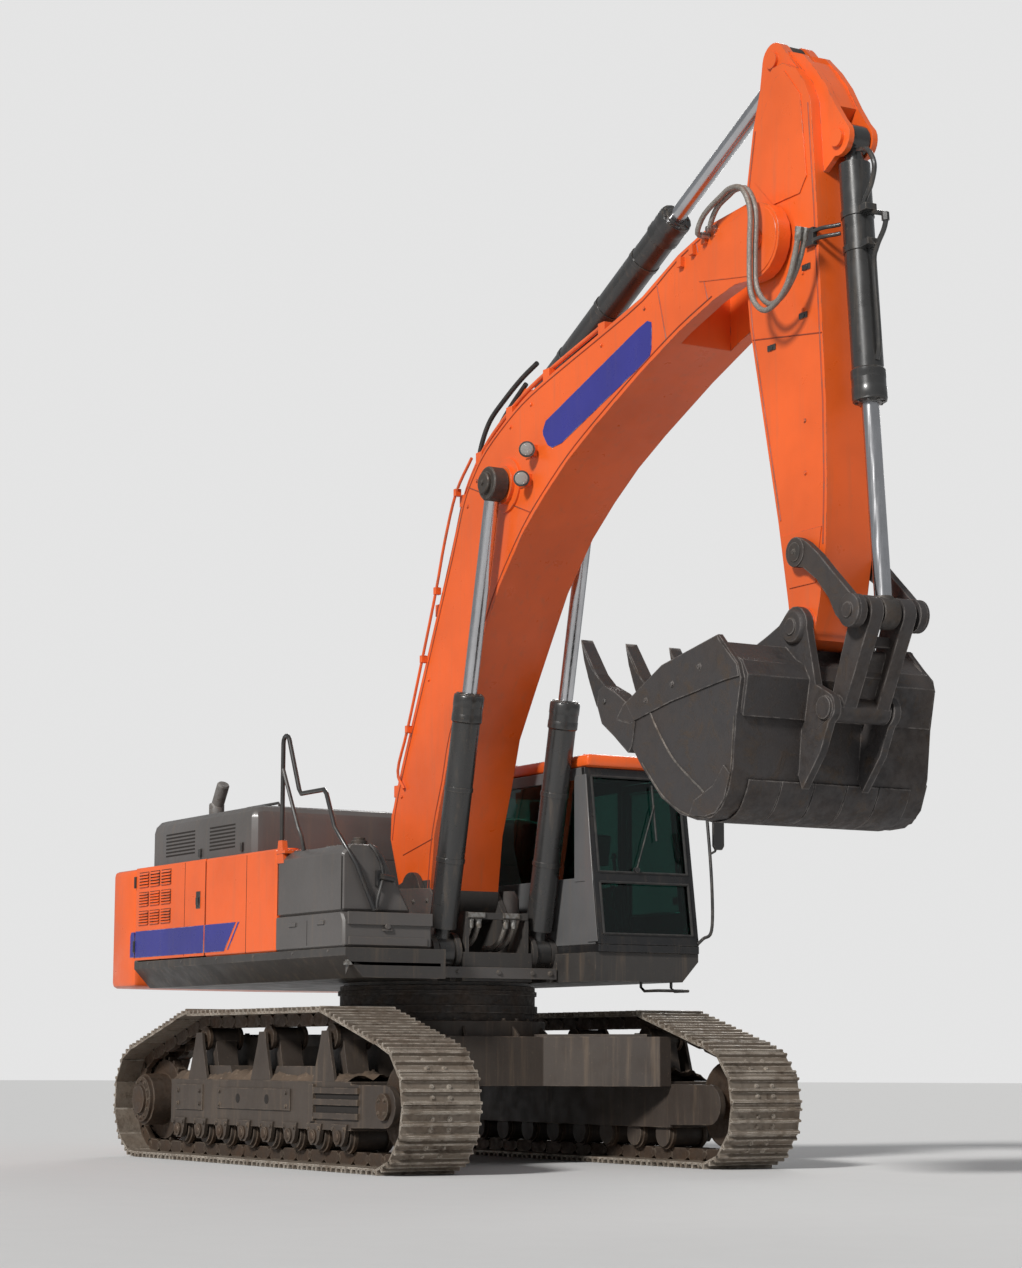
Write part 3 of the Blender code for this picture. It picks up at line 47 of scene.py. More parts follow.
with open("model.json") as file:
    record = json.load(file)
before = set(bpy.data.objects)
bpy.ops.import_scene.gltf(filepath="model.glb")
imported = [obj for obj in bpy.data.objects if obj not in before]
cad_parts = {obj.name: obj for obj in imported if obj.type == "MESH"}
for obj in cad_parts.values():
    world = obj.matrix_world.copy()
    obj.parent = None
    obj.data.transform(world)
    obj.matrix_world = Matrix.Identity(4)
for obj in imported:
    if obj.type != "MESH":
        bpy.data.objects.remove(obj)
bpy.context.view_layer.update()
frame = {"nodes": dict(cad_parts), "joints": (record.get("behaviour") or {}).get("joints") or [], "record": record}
SLEW_X = next(j for j in frame["joints"] if j["name"] == "slew")["pos_m"][0]

# ---- places shared with the frame -------------------------------------------
TRACK_MIDDLE = 1.374
HALF_SHOE = 0.3115
SHOE_COUNT = 49
WHEEL_X = 2.135
WHEEL_Z = 0.469
HALF_HOUSE = 1.4835
HALF_BOOM = 0.31
ARM_PIVOT = (4.94, 6.24)
BOOM_FOOT = (0.19, 2.12)
BOOM_CYLINDER_FOOT = (0.82, 1.62)
BOOM_CYLINDER_HEAD = (1.62, 5.15)
ARM_CYLINDER_FOOT = (1.55, 5.83)
ARM_CYLINDER_HEAD = (4.92, 7.54)
BUCKET_PIVOT = (5.26, 3.58)
LEVER_PIVOT = (5.28, 4.07)
LEVER_END = (5.86, 3.61)
BUCKET_CYLINDER_FOOT = (5.61, 6.80)
CYLINDER_Y = 0.43
HOSE_RADIUS = 0.019
HALF_ARM = 0.19
HOOD_SIDE = 1.36
EAR_OUTSIDE = 0.266
TAIL_RADIUS = 3.54
DECK_TOP = 2.42
HOOD_TOP = 2.848
BOOM_HOSE_Y = (-0.225, -0.155, 0.085, 0.155)
SIDES = ((-1, "right"), (1, "left"))
CAB_RIGHT, CAB_LEFT = 0.555, 1.48
CAB_LOW, CAB_HIGH = 1.68, 3.06
TOOTH_PLACES = [-0.73 + 0.365 * i for i in range(5)]
BOOM_BACK = [(-0.24, 2.56), (-0.14, 2.93), (0.30, 3.835), (0.74, 4.74), (0.92, 5.14), (1.08, 5.34),
             (1.28, 5.51), (1.63, 5.69), (1.95, 5.81), (2.43, 5.93), (2.96, 6.05), (3.53, 6.19), (3.99, 6.38),
             (4.43, 6.50)]
BOOM_BELLY = [(0.42, 2.06), (0.50, 2.56), (0.65, 2.95), (0.77, 3.31), (1.03, 3.70), (1.27, 4.05),
              (1.50, 4.38), (1.87, 4.755), (2.18, 4.98), (2.52, 5.19), (2.89, 5.37), (3.51, 5.64),
              (4.01, 5.83), (4.42, 5.95)]


# ---- shapes -------------------------------------------------------------------
def at(x, y, z):
    """A place given from the slewing axis, in the frame's own metres."""
    return Vector((x + SLEW_X, y, z))


def arc(centre, radius, start, end, steps=8):
    turn = [math.radians(start + (end - start) * i / steps) for i in range(steps + 1)]
    return [(centre[0] + radius * math.cos(a), centre[1] + radius * math.sin(a)) for a in turn]


def smooth(points, steps=6):
    """A smooth line through points of two or three coordinates."""
    knots = [Vector(p) for p in points]
    knots = [2 * knots[0] - knots[1]] + knots + [2 * knots[-1] - knots[-2]]
    line = []
    for a, b, c, d in zip(knots, knots[1:], knots[2:], knots[3:]):
        for i in range(steps):
            t = i / steps
            line.append(0.5 * (2 * b + (c - a) * t + (2 * a - 5 * b + 4 * c - d) * t * t
                               + (3 * b - a - 3 * c + d) * t ** 3))
    return line + [knots[-2]]


def beside(line, gap):
    """A side-view line moved sideways, to the left of its own direction."""
    moved = []
    for i, point in enumerate(line):
        before, after = Vector(line[max(i - 1, 0)]), Vector(line[min(i + 1, len(line) - 1)])
        way = (after - before).normalized()
        moved.append((point[0] - way.y * gap, point[1] + way.x * gap))
    return moved


def proud(face, side, depth, sunk=0.0):
    """The thickness of a fitting on a side face, from under the face to outside it."""
    return sorted((face - side * sunk, face + side * depth))


def between(start, end, share):
    return tuple(a + (b - a) * share for a, b in zip(start, end))


def wrapped(circles, step=7.5):
    """The outline of a belt around (centre, radius) circles listed anticlockwise."""
    leaving = []
    for (a, ra), (b, rb) in zip(circles, circles[1:] + circles[:1]):
        heading = math.atan2(b[1] - a[1], b[0] - a[0])
        leaving.append(math.degrees(heading - math.acos((ra - rb) / math.dist(a, b))))
    points = []
    for i, (centre, radius) in enumerate(circles):
        turn = (leaving[i] - leaving[i - 1]) % 360
        points += arc(centre, radius, leaving[i - 1], leaving[i - 1] + turn, max(1, round(turn / step)))
    return points


class Shell:
    """Collects plates, blocks, rounds and tubes into one piece."""

    def __init__(self):
        self.bm = bmesh.new()

    def loft(self, rings, closed=True, caps=True):
        """Joins rings of places into a skin."""
        rows = [[self.bm.verts.new(at(*p)) for p in ring] for ring in rings]
        count = len(rows[0])
        for a, b in zip(rows, rows[1:]):
            for i in range(count if closed else count - 1):
                j = (i + 1) % count
                self.bm.faces.new((a[i], a[j], b[j], b[i]))
        if caps:
            self.bm.faces.new(rows[0][::-1])
            self.bm.faces.new(rows[-1])

    def plate(self, outline, low, high, view="side"):
        """A flat outline made thick: side (x, z), plan (x, y) or front (y, z)."""
        place = {"side": lambda p, t: (p[0], t, p[1]), "plan": lambda p, t: (p[0], p[1], t),
                 "front": lambda p, t: (t, p[0], p[1])}[view]
        self.loft([[place(p, t) for p in outline] for t in (low, high)])

    def block(self, x, y, z):
        self.plate([(x[0], y[0]), (x[1], y[0]), (x[1], y[1]), (x[0], y[1])], z[0], z[1], "plan")

    def ring_at(self, centre, axis, radius, sides, flat=1.0):
        axis = Vector(axis).normalized()
        across = axis.orthogonal().normalized()
        up = axis.cross(across)
        turn = [2 * math.pi * i / sides for i in range(sides)]
        return [tuple(Vector(centre) + across * math.cos(a) * radius + up * math.sin(a) * radius * flat)
                for a in turn]

    def round(self, start, end, radius, sides=24, profile=None):
        """A turned shape; profile lists (share of the way, radius)."""
        start, end = Vector(start), Vector(end)
        steps = profile or [(0.0, radius), (1.0, radius)]
        self.loft([self.ring_at(start.lerp(end, s), end - start, r, sides) for s, r in steps])

    def pin(self, place, low, high, radius, sides=24, profile=None):
        """A round across the machine, at a side-view place."""
        self.round((place[0], low, place[1]), (place[0], high, place[1]), radius, sides, profile)

    def sleeve(self, start, end, inner, profile, sides=40):
        """A turned band with a bore right through it."""
        start, end = Vector(start), Vector(end)
        steps = profile + [(1.0, inner), (0.0, inner), profile[0]]
        self.loft([self.ring_at(start.lerp(end, s), end - start, r, sides) for s, r in steps], caps=False)

    def tube(self, points, radius, sides=10, caps=True):
        """A round bar or pipe along a line of places."""
        points = [Vector(p) for p in points]
        way = (points[1] - points[0]).normalized()
        across = way.orthogonal().normalized()
        rings = []
        for i, point in enumerate(points):
            ahead = points[min(i + 1, len(points) - 1)] - points[max(i - 1, 0)]
            ahead.normalize()
            across = (across - ahead * across.dot(ahead)).normalized()
            up = ahead.cross(across)
            turn = [2 * math.pi * k / sides for k in range(sides)]
            rings.append([tuple(point + across * math.cos(a) * radius + up * math.sin(a) * radius)
                          for a in turn])
        self.loft(rings, caps=caps)

    def bolt(self, place, axis, size=0.014, depth=0.012):
        """A washer and a six-sided head."""
        place, axis = Vector(place), Vector(axis).normalized()
        self.round(place, place + axis * depth * 0.3, size * 1.35, 12)
        self.round(place + axis * depth * 0.3, place + axis * depth, size, 6)

    def dome(self, centre, axis, radius, height, sides=20):
        steps = [(math.sin(a), radius * math.cos(a)) for a in (0.0, 0.4, 0.8, 1.15)]
        centre, axis = Vector(centre), Vector(axis).normalized()
        self.loft([self.ring_at(centre + axis * height * s, axis, r, sides) for s, r in steps])

    def finish(self, name, finish, body, slot, soften=0.0, round_over=35):
        """Turns what was collected into a piece that rides on a body."""
        bmesh.ops.recalc_face_normals(self.bm, faces=self.bm.faces)
        mesh = bpy.data.meshes.new(name)
        self.bm.to_mesh(mesh)
        self.bm.free()
        piece = bpy.data.objects.new(name, mesh)
        bpy.context.scene.collection.objects.link(piece)
        mesh.materials.append(bpy.data.materials[finish])
        mesh.shade_smooth()
        mesh.set_sharp_from_angle(angle=math.radians(round_over))
        if soften:
            edge = piece.modifiers.new("Softened edges", "BEVEL")
            edge.width, edge.segments, edge.limit_method = soften, 2, "ANGLE"
            edge.angle_limit = math.radians(40)
            edge.harden_normals = True
        if isinstance(body, str):
            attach(piece, body)
        return piece


# ---- finishes -----------------------------------------------------------------
class Paintwork:
    """Builds one node material in plain steps."""

    def __init__(self, name, roughness=0.5, metallic=0.0, **sockets):
        self.material = bpy.data.materials.new(name)
        self.material.use_nodes = True
        self.tree = self.material.node_tree
        self.shader = self.tree.nodes["Principled BSDF"]
        self.shader.inputs["Roughness"].default_value = roughness
        self.shader.inputs["Metallic"].default_value = metallic
        for key, value in sockets.items():
            self.shader.inputs[key.replace("_", " ")].default_value = value
        self.place = self.tree.nodes.new("ShaderNodeTexCoord").outputs["Object"]

    def node(self, kind, inputs=(), **settings):
        made = self.tree.nodes.new(kind)
        for key, value in settings.items():
            setattr(made, key, value)
        for key, value in inputs:
            if isinstance(value, bpy.types.NodeSocket):
                self.tree.links.new(value, made.inputs[key])
            else:
                made.inputs[key].default_value = value
        return made

    def stretched(self, x, y, z):
        return self.node("ShaderNodeMapping", [("Vector", self.place), ("Scale", (x, y, z))]).outputs[0]

    def noise(self, scale, detail=5.0, rough=0.6, place=None, warp=0.0):
        inputs = [("Vector", place or self.place), ("Scale", scale), ("Detail", detail), ("Roughness", rough),
                  ("Distortion", warp)]
        return self.node("ShaderNodeTexNoise", inputs).outputs["Fac"]

    def ramp(self, value, low, high, floor=0.0, top=1.0):
        inputs = [("Value", value), ("From Min", low), ("From Max", high), ("To Min", floor), ("To Max", top)]
        return self.node("ShaderNodeMapRange", inputs, interpolation_type="SMOOTHSTEP").outputs[0]

    def times(self, a, b, operation="MULTIPLY"):
        return self.node("ShaderNodeMath", [(0, a), (1, b)], operation=operation).outputs[0]

    def blend(self, share, first, second):
        made = self.node("ShaderNodeMix", data_type="RGBA")
        for key, value in ((0, share), (6, first), (7, second)):
            if isinstance(value, bpy.types.NodeSocket):
                self.tree.links.new(value, made.inputs[key])
            elif key == 0:
                made.inputs[key].default_value = value
            else:
                made.inputs[key].default_value = (*value, 1.0)
        return made.outputs[2]

    def edges(self, width=0.012):
        """Bright where two faces meet at an edge."""
        soft = self.node("ShaderNodeBevel", [("Radius", width)], samples=4).outputs[0]
        true = self.node("ShaderNodeNewGeometry").outputs["Normal"]
        same = self.node("ShaderNodeVectorMath", [(0, soft), (1, true)],
                         operation="DOT_PRODUCT").outputs["Value"]
        return self.ramp(same, 0.995, 0.90, 0.0, 1.0)

    def set(self, color=None, roughness=None, bump=None, strength=0.2, distance=0.01):
        if color is not None:
            self.tree.links.new(color, self.shader.inputs["Base Color"])
        if roughness is not None:
            self.tree.links.new(roughness, self.shader.inputs["Roughness"])
        if bump is not None:
            made = self.node("ShaderNodeBump", [("Strength", strength), ("Distance", distance),
                                                ("Height", bump)])
            self.tree.links.new(made.outputs[0], self.shader.inputs["Normal"])
        return self.material


def machine_paint(name, color, shade, dust=0.35, shine=0.34, chip=(0.10, 0.07, 0.05), dirt=(0.20, 0.14, 0.09),
                  coat=0.25):
    """Sprayed enamel with faded patches, run-off streaks, road dust and chipped edges."""
    paint = Paintwork(name, Coat_Weight=coat, Coat_Roughness=0.18, IOR=1.5)
    cloud = paint.ramp(paint.noise(0.7, 4), 0.35, 0.70)
    body = paint.blend(cloud, color, shade)
    runs = paint.ramp(paint.noise(3.0, 6, 0.65, paint.stretched(5, 5, 0.28)), 0.50, 0.80, 0.0, dust)
    body = paint.blend(runs, body, dirt)
    specks = paint.ramp(paint.noise(38.0, 6, 0.7), 0.60, 0.74, 0.0, dust)
    body = paint.blend(specks, body, dirt)
    rubbed = paint.times(paint.edges(0.010), paint.ramp(paint.noise(9.0, 6, 0.7), 0.46, 0.62))
    body = paint.blend(rubbed, body, chip)
    sheen = paint.ramp(paint.noise(6.0, 6), 0.3, 0.75, shine - 0.07, shine + 0.16)
    skin = paint.times(paint.noise(260.0, 2), paint.times(paint.noise(1.6, 3), 6.0), "ADD")
    return paint.set(body, sheen, skin, 0.09, 0.004)


def worn_steel(name, color, rust, bright, scale=1.0, rust_amount=0.6, bright_amount=0.8, metallic=0.55):
    """Unpainted plate: dark scale, rust bloom, caked soil and edges rubbed bright."""
    steel = Paintwork(name, metallic=metallic)
    body = steel.blend(steel.ramp(steel.noise(2.2 * scale, 8, 0.7), 0.38, 0.66, 0.0, rust_amount), color,
                       rust)
    soil = steel.ramp(steel.noise(7.5 * scale, 9, 0.75, warp=0.6), 0.50, 0.68, 0.0, 0.75)
    body = steel.blend(soil, body, (0.085, 0.060, 0.042))
    rubbed = steel.times(steel.edges(0.014), steel.ramp(steel.noise(11.0, 5), 0.36, 0.60, 0.0, bright_amount))
    body = steel.blend(rubbed, body, bright)
    rough = steel.ramp(steel.noise(14.0 * scale, 7, 0.7), 0.3, 0.7, 0.42, 0.85)
    pits = steel.times(steel.noise(75.0, 8, 0.7), steel.times(soil, 1.4), "ADD")
    return steel.set(body, rough, pits, 0.34, 0.006)


def make_finishes():
    colors = bpy.context.scene.excavator_colors
    orange = tuple(colors.orange)
    machine_paint("orange_enamel", orange, tuple(c * 0.80 for c in orange), 0.20)
    machine_paint("house_enamel", tuple(colors.house_grey), (0.074, 0.068, 0.064), 0.34, 0.42,
                  (0.16, 0.13, 0.10))
    machine_paint("cab_enamel", (0.118, 0.118, 0.120), (0.088, 0.088, 0.089), 0.25, 0.40, (0.15, 0.13, 0.11))
    machine_paint("barrel_enamel", (0.030, 0.030, 0.030), (0.022, 0.021, 0.020), 0.28, 0.28,
                  (0.13, 0.11, 0.09), coat=0.5)
    machine_paint("frame_enamel", (0.062, 0.048, 0.038), (0.038, 0.028, 0.022), 0.80, 0.58,
                  (0.20, 0.15, 0.11), (0.13, 0.092, 0.062), 0.0)
    machine_paint("label_blue", tuple(colors.label_blue), (0.024, 0.024, 0.19), 0.10, 0.30, (0.3, 0.3, 0.34))
    machine_paint("seam_orange", (0.40, 0.050, 0.010), (0.28, 0.035, 0.008), 0.40, 0.55, coat=0.0)
    machine_paint("cab_black", (0.014, 0.014, 0.015), (0.010, 0.010, 0.010), 0.20, 0.30, (0.10, 0.09, 0.08))
    machine_paint("deck_enamel", (0.050, 0.046, 0.043), (0.034, 0.031, 0.029), 0.45, 0.50, (0.16, 0.13, 0.10),
                  coat=0.1)
    machine_paint("rail_enamel", (0.018, 0.018, 0.019), (0.028, 0.026, 0.024), 0.25, 0.34, (0.18, 0.16, 0.14))
    worn_steel("shoe_plate", (0.255, 0.215, 0.175), (0.175, 0.125, 0.085), (0.66, 0.60, 0.52), 1.0, 0.55, 1.0)
    worn_steel("chain_steel", (0.075, 0.055, 0.042), (0.095, 0.055, 0.032), (0.30, 0.25, 0.20), 1.4, 0.7, 0.6)
    worn_steel("bucket_plate", (0.064, 0.059, 0.059), (0.085, 0.060, 0.045), (0.34, 0.31, 0.29), 0.8, 0.40,
               0.7, 0.45)
    worn_steel("tooth_steel", (0.055, 0.052, 0.053), (0.10, 0.065, 0.04), (0.42, 0.40, 0.38), 1.6, 0.35, 0.9)
    worn_steel("stack_steel", (0.20, 0.195, 0.19), (0.13, 0.09, 0.065), (0.40, 0.38, 0.36), 2.0, 0.5, 0.5,
               0.3)
    worn_steel("bare_casting", (0.070, 0.064, 0.060), (0.11, 0.07, 0.045), (0.34, 0.31, 0.28), 2.0, 0.45, 0.6)

    soil = Paintwork("caked_soil", 0.95)
    clods = soil.noise(16.0, 9, 0.75)
    body = soil.blend(soil.ramp(soil.noise(4.0, 6), 0.35, 0.7), (0.120, 0.082, 0.055), (0.062, 0.043, 0.030))
    body = soil.blend(soil.ramp(clods, 0.52, 0.66), body, (0.21, 0.155, 0.11))
    soil.set(body, None, clods, 0.8, 0.02)

    rod = Paintwork("polished_rod", metallic=1.0)
    lines = rod.noise(60.0, 3, 0.5, rod.stretched(1, 1, 0.05))
    body = rod.blend(rod.ramp(rod.noise(3.0, 4), 0.4, 0.7, 0.0, 0.5), (0.62, 0.62, 0.64), (0.44, 0.44, 0.45))
    rod.set(body, rod.ramp(lines, 0.3, 0.7, 0.16, 0.30), lines, 0.03, 0.002)

    steel = Paintwork("zinc_steel", metallic=0.9)
    body = steel.blend(steel.ramp(steel.noise(24.0, 5), 0.4, 0.65), (0.42, 0.41, 0.39), (0.22, 0.19, 0.16))
    steel.set(body, steel.ramp(steel.noise(40.0, 5), 0.3, 0.7, 0.28, 0.55), steel.noise(120.0), 0.1, 0.002)

    glass = Paintwork("tinted_pane", 0.03, Transmission_Weight=1.0, IOR=1.45)
    smear = glass.noise(2.6, 6, 0.6, glass.stretched(1, 1, 0.4))
    tint = glass.blend(glass.ramp(smear, 0.35, 0.7), (0.065, 0.215, 0.180), (0.085, 0.260, 0.215))
    glass.set(tint, glass.ramp(smear, 0.45, 0.8, 0.015, 0.09))

    hose = Paintwork("braided_hose", 0.5, 0.35)
    braid = hose.node("ShaderNodeTexVoronoi", [("Vector", hose.place), ("Scale", 210.0)]).outputs["Distance"]
    body = hose.blend(hose.ramp(braid, 0.1, 0.6), (0.52, 0.49, 0.45), (0.20, 0.18, 0.16))
    body = hose.blend(hose.ramp(hose.noise(9.0, 5), 0.5, 0.7, 0.0, 0.5), body, (0.18, 0.13, 0.09))
    hose.set(body, hose.ramp(hose.noise(30.0), 0.3, 0.7, 0.40, 0.65), braid, 0.5, 0.003)

    rubber = Paintwork("black_rubber", 0.7, Sheen_Weight=0.1)
    body = rubber.blend(rubber.ramp(rubber.noise(12.0, 6), 0.4, 0.7), (0.016, 0.016, 0.016),
                        (0.034, 0.031, 0.028))
    rubber.set(body, rubber.ramp(rubber.noise(20.0), 0.3, 0.7, 0.55, 0.85), rubber.noise(180.0, 4), 0.15,
               0.002)

    cloth = Paintwork("seat_cloth", 0.9, Sheen_Weight=0.5, Sheen_Roughness=0.5)
    weave = cloth.node("ShaderNodeTexWave", [("Vector", cloth.place), ("Scale", 150.0),
                                             ("Distortion", 1.5)]).outputs["Fac"]
    cross = cloth.node("ShaderNodeTexWave", [("Vector", cloth.place), ("Scale", 150.0), ("Distortion", 1.5)],
                       bands_direction="Z").outputs["Fac"]
    thread = cloth.times(weave, cross)
    body = cloth.blend(thread, (0.030, 0.045, 0.050), (0.075, 0.095, 0.10))
    body = cloth.blend(cloth.ramp(cloth.noise(5.0, 5), 0.5, 0.75, 0.0, 0.5), body, (0.10, 0.09, 0.08))
    cloth.set(body, None, thread, 0.5, 0.002)

    moulded = Paintwork("moulded_plastic", 0.55)
    grain = moulded.node("ShaderNodeTexVoronoi", [("Vector", moulded.place),
                                                  ("Scale", 420.0)]).outputs["Distance"]
    body = moulded.blend(moulded.ramp(moulded.noise(3.0, 5), 0.4, 0.7), (0.040, 0.041, 0.043),
                         (0.055, 0.054, 0.053))
    moulded.set(body, moulded.ramp(moulded.noise(8.0), 0.3, 0.7, 0.45, 0.65), grain, 0.25, 0.001)

    lens = Paintwork("lamp_lens", 0.08, Transmission_Weight=0.7, IOR=1.49)
    ribs = lens.node("ShaderNodeTexWave", [("Vector", lens.place), ("Scale", 60.0)]).outputs["Fac"]
    lens.set(lens.blend(ribs, (0.85, 0.80, 0.72), (0.95, 0.93, 0.90)), None, ribs, 0.4, 0.004)

    red = Paintwork("red_reflector", 0.2, Coat_Weight=0.6)
    cells = red.node("ShaderNodeTexVoronoi", [("Vector", red.place), ("Scale", 130.0)]).outputs["Distance"]
    red.set(red.blend(cells, (0.45, 0.01, 0.01), (0.16, 0.0, 0.0)), None, cells, 0.5, 0.002)

    hole = Paintwork("shadow_gap", 0.9)
    hole.set(hole.blend(hole.noise(14.0), (0.010, 0.008, 0.007), (0.022, 0.017, 0.014)), None,
             hole.noise(60.0), 0.2, 0.003)


# The finish of each material slot of the frame, and of the nodes that differ from their slot.
CAD_FINISH = {
    "orange": "orange_enamel", "house_grey": "house_enamel", "undercarriage_brown": "frame_enamel",
    "shoe_steel": "chain_steel", "ring_steel": "bare_casting", "cylinder_black": "barrel_enamel",
    "rod_chrome": "polished_rod", "bucket_grey": "bucket_plate", "cab_grey": "cab_enamel",
    "tinted_glass": "tinted_pane", "seat_fabric": "seat_cloth", "engine_iron": "bare_casting",
    "exhaust_steel": "bare_casting", "hose": "braided_hose", "rail_black": "rail_enamel",
}
NODE_FINISH = {"cab_front_frame": "cab_black", "cab_floor": "cab_black", "slew_ring": "bare_casting",
               "revolving_frame": "deck_enamel"}


def finish_cad_nodes():
    """Gives every carried-over solid its finish, with smooth shading on its round faces."""
    slots = {s["node"]: s["material_slot"] for s in frame["record"]["subparts"]}
    for name, node in frame["nodes"].items():
        finish = bpy.data.materials[NODE_FINISH.get(name, CAD_FINISH[slots[name]])]
        for index in range(max(1, len(node.material_slots))):
            if len(node.material_slots) <= index:
                node.data.materials.append(finish)
            node.material_slots[index].material = finish
        for own in ("custom_normal", "sharp_face", "sharp_edge"):
            if own in node.data.attributes:
                node.data.attributes.remove(node.data.attributes[own])
        node.data.shade_smooth()
        weld = node.modifiers.new("Joined corners", "WELD")
        weld.merge_threshold = 0.0001
        edge = node.modifiers.new("Softened edges", "BEVEL")
        edge.width, edge.segments, edge.limit_method = 0.006, 2, "ANGLE"
        edge.angle_limit = math.radians(28)
        edge.harden_normals = True


# ---- tracks and lower frame -------------------------------------------------------
def belt_line():
    """The outer line of the track, round both wheels and over the carrier rollers."""
    top = (1.27, 1.026), (-1.20, 1.026)
    return wrapped([((-WHEEL_X, WHEEL_Z), 0.469), ((WHEEL_X, WHEEL_Z), 0.469), (top[0], 0.16),
                    (top[1], 0.16)])


def places_on(outline, count):
    """Evenly spaced (point, way along, way out) around a closed side-view outline."""
    corners = [Vector(p) for p in outline]
    sides = list(zip(corners, corners[1:] + corners[:1]))
    total = sum((b - a).length for a, b in sides)
    found = []
    for i in range(count):
        left = (i + 0.5) * total / count
        for a, b in sides:
            length = (b - a).length
            if left <= length:
                way = (b - a) / length
                found.append((a + way * left, way, Vector((way.y, -way.x))))
                break
            left -= length
    return found, total / count


def build_tracks():
    outline = belt_line()
    for side, word in SIDES:
        middle = side * TRACK_MIDDLE
        low, high = middle - HALF_SHOE, middle + HALF_SHOE
        shoes, pitch = places_on(outline, SHOE_COUNT)
        half = pitch / 2 - 0.004
        plates, chain = Shell(), Shell()
        profile = [(-half, -0.045), (half, -0.045), (half + 0.012, -0.038), (half + 0.010, -0.028),
                   (half * 0.86, -0.028),
                   (half * 0.80, -0.002), (half * 0.68, -0.002), (half * 0.60, -0.030), (half * 0.12, -0.030),
                   (half * 0.05, -0.001), (-half * 0.07, -0.001), (-half * 0.14, -0.030),
                   (-half * 0.62, -0.030),
                   (-half * 0.70, -0.002), (-half * 0.84, -0.002), (-half * 0.90, -0.030), (-half, -0.032)]
        for point, way, out in shoes:
            section = [tuple(point + way * t + out * n) for t, n in profile]
            plates.plate(section, low, high)
            for y in (-0.07, 0.07):
                for t in (-0.045, 0.030):
                    base = point + way * t - out * 0.030
                    plates.bolt((base.x, middle + y, base.y), (out.x, 0, out.y), 0.013, 0.012)
        for point, way, out in shoes:
            for y in (-1, 1):
                bar = [tuple(point + way * t + out * n) for t, n in
                       ((-half * 1.05, -0.075), (-half * 0.7, -0.046), (half * 0.7, -0.046),
                        (half * 1.05, -0.075),
                        (half * 1.05, -0.115), (half * 0.7, -0.138), (-half * 0.7, -0.138),
                        (-half * 1.05, -0.115))]
                inner = middle + y * 0.068
                chain.plate(bar, min(inner, inner + y * 0.045), max(inner, inner + y * 0.045))
            pin = point + way * pitch / 2 - out * 0.093
            chain.round((pin.x, middle - 0.118, pin.y), (pin.x, middle + 0.118, pin.y), 0.028, 12)
        made = plates.finish("track_shoes_" + word, "shoe_plate", "undercarriage", "shoe_steel", 0.0)
        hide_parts("track_" + word)
        chain.finish("track_chain_" + word, "chain_steel", "undercarriage", "shoe_steel", 0.0)


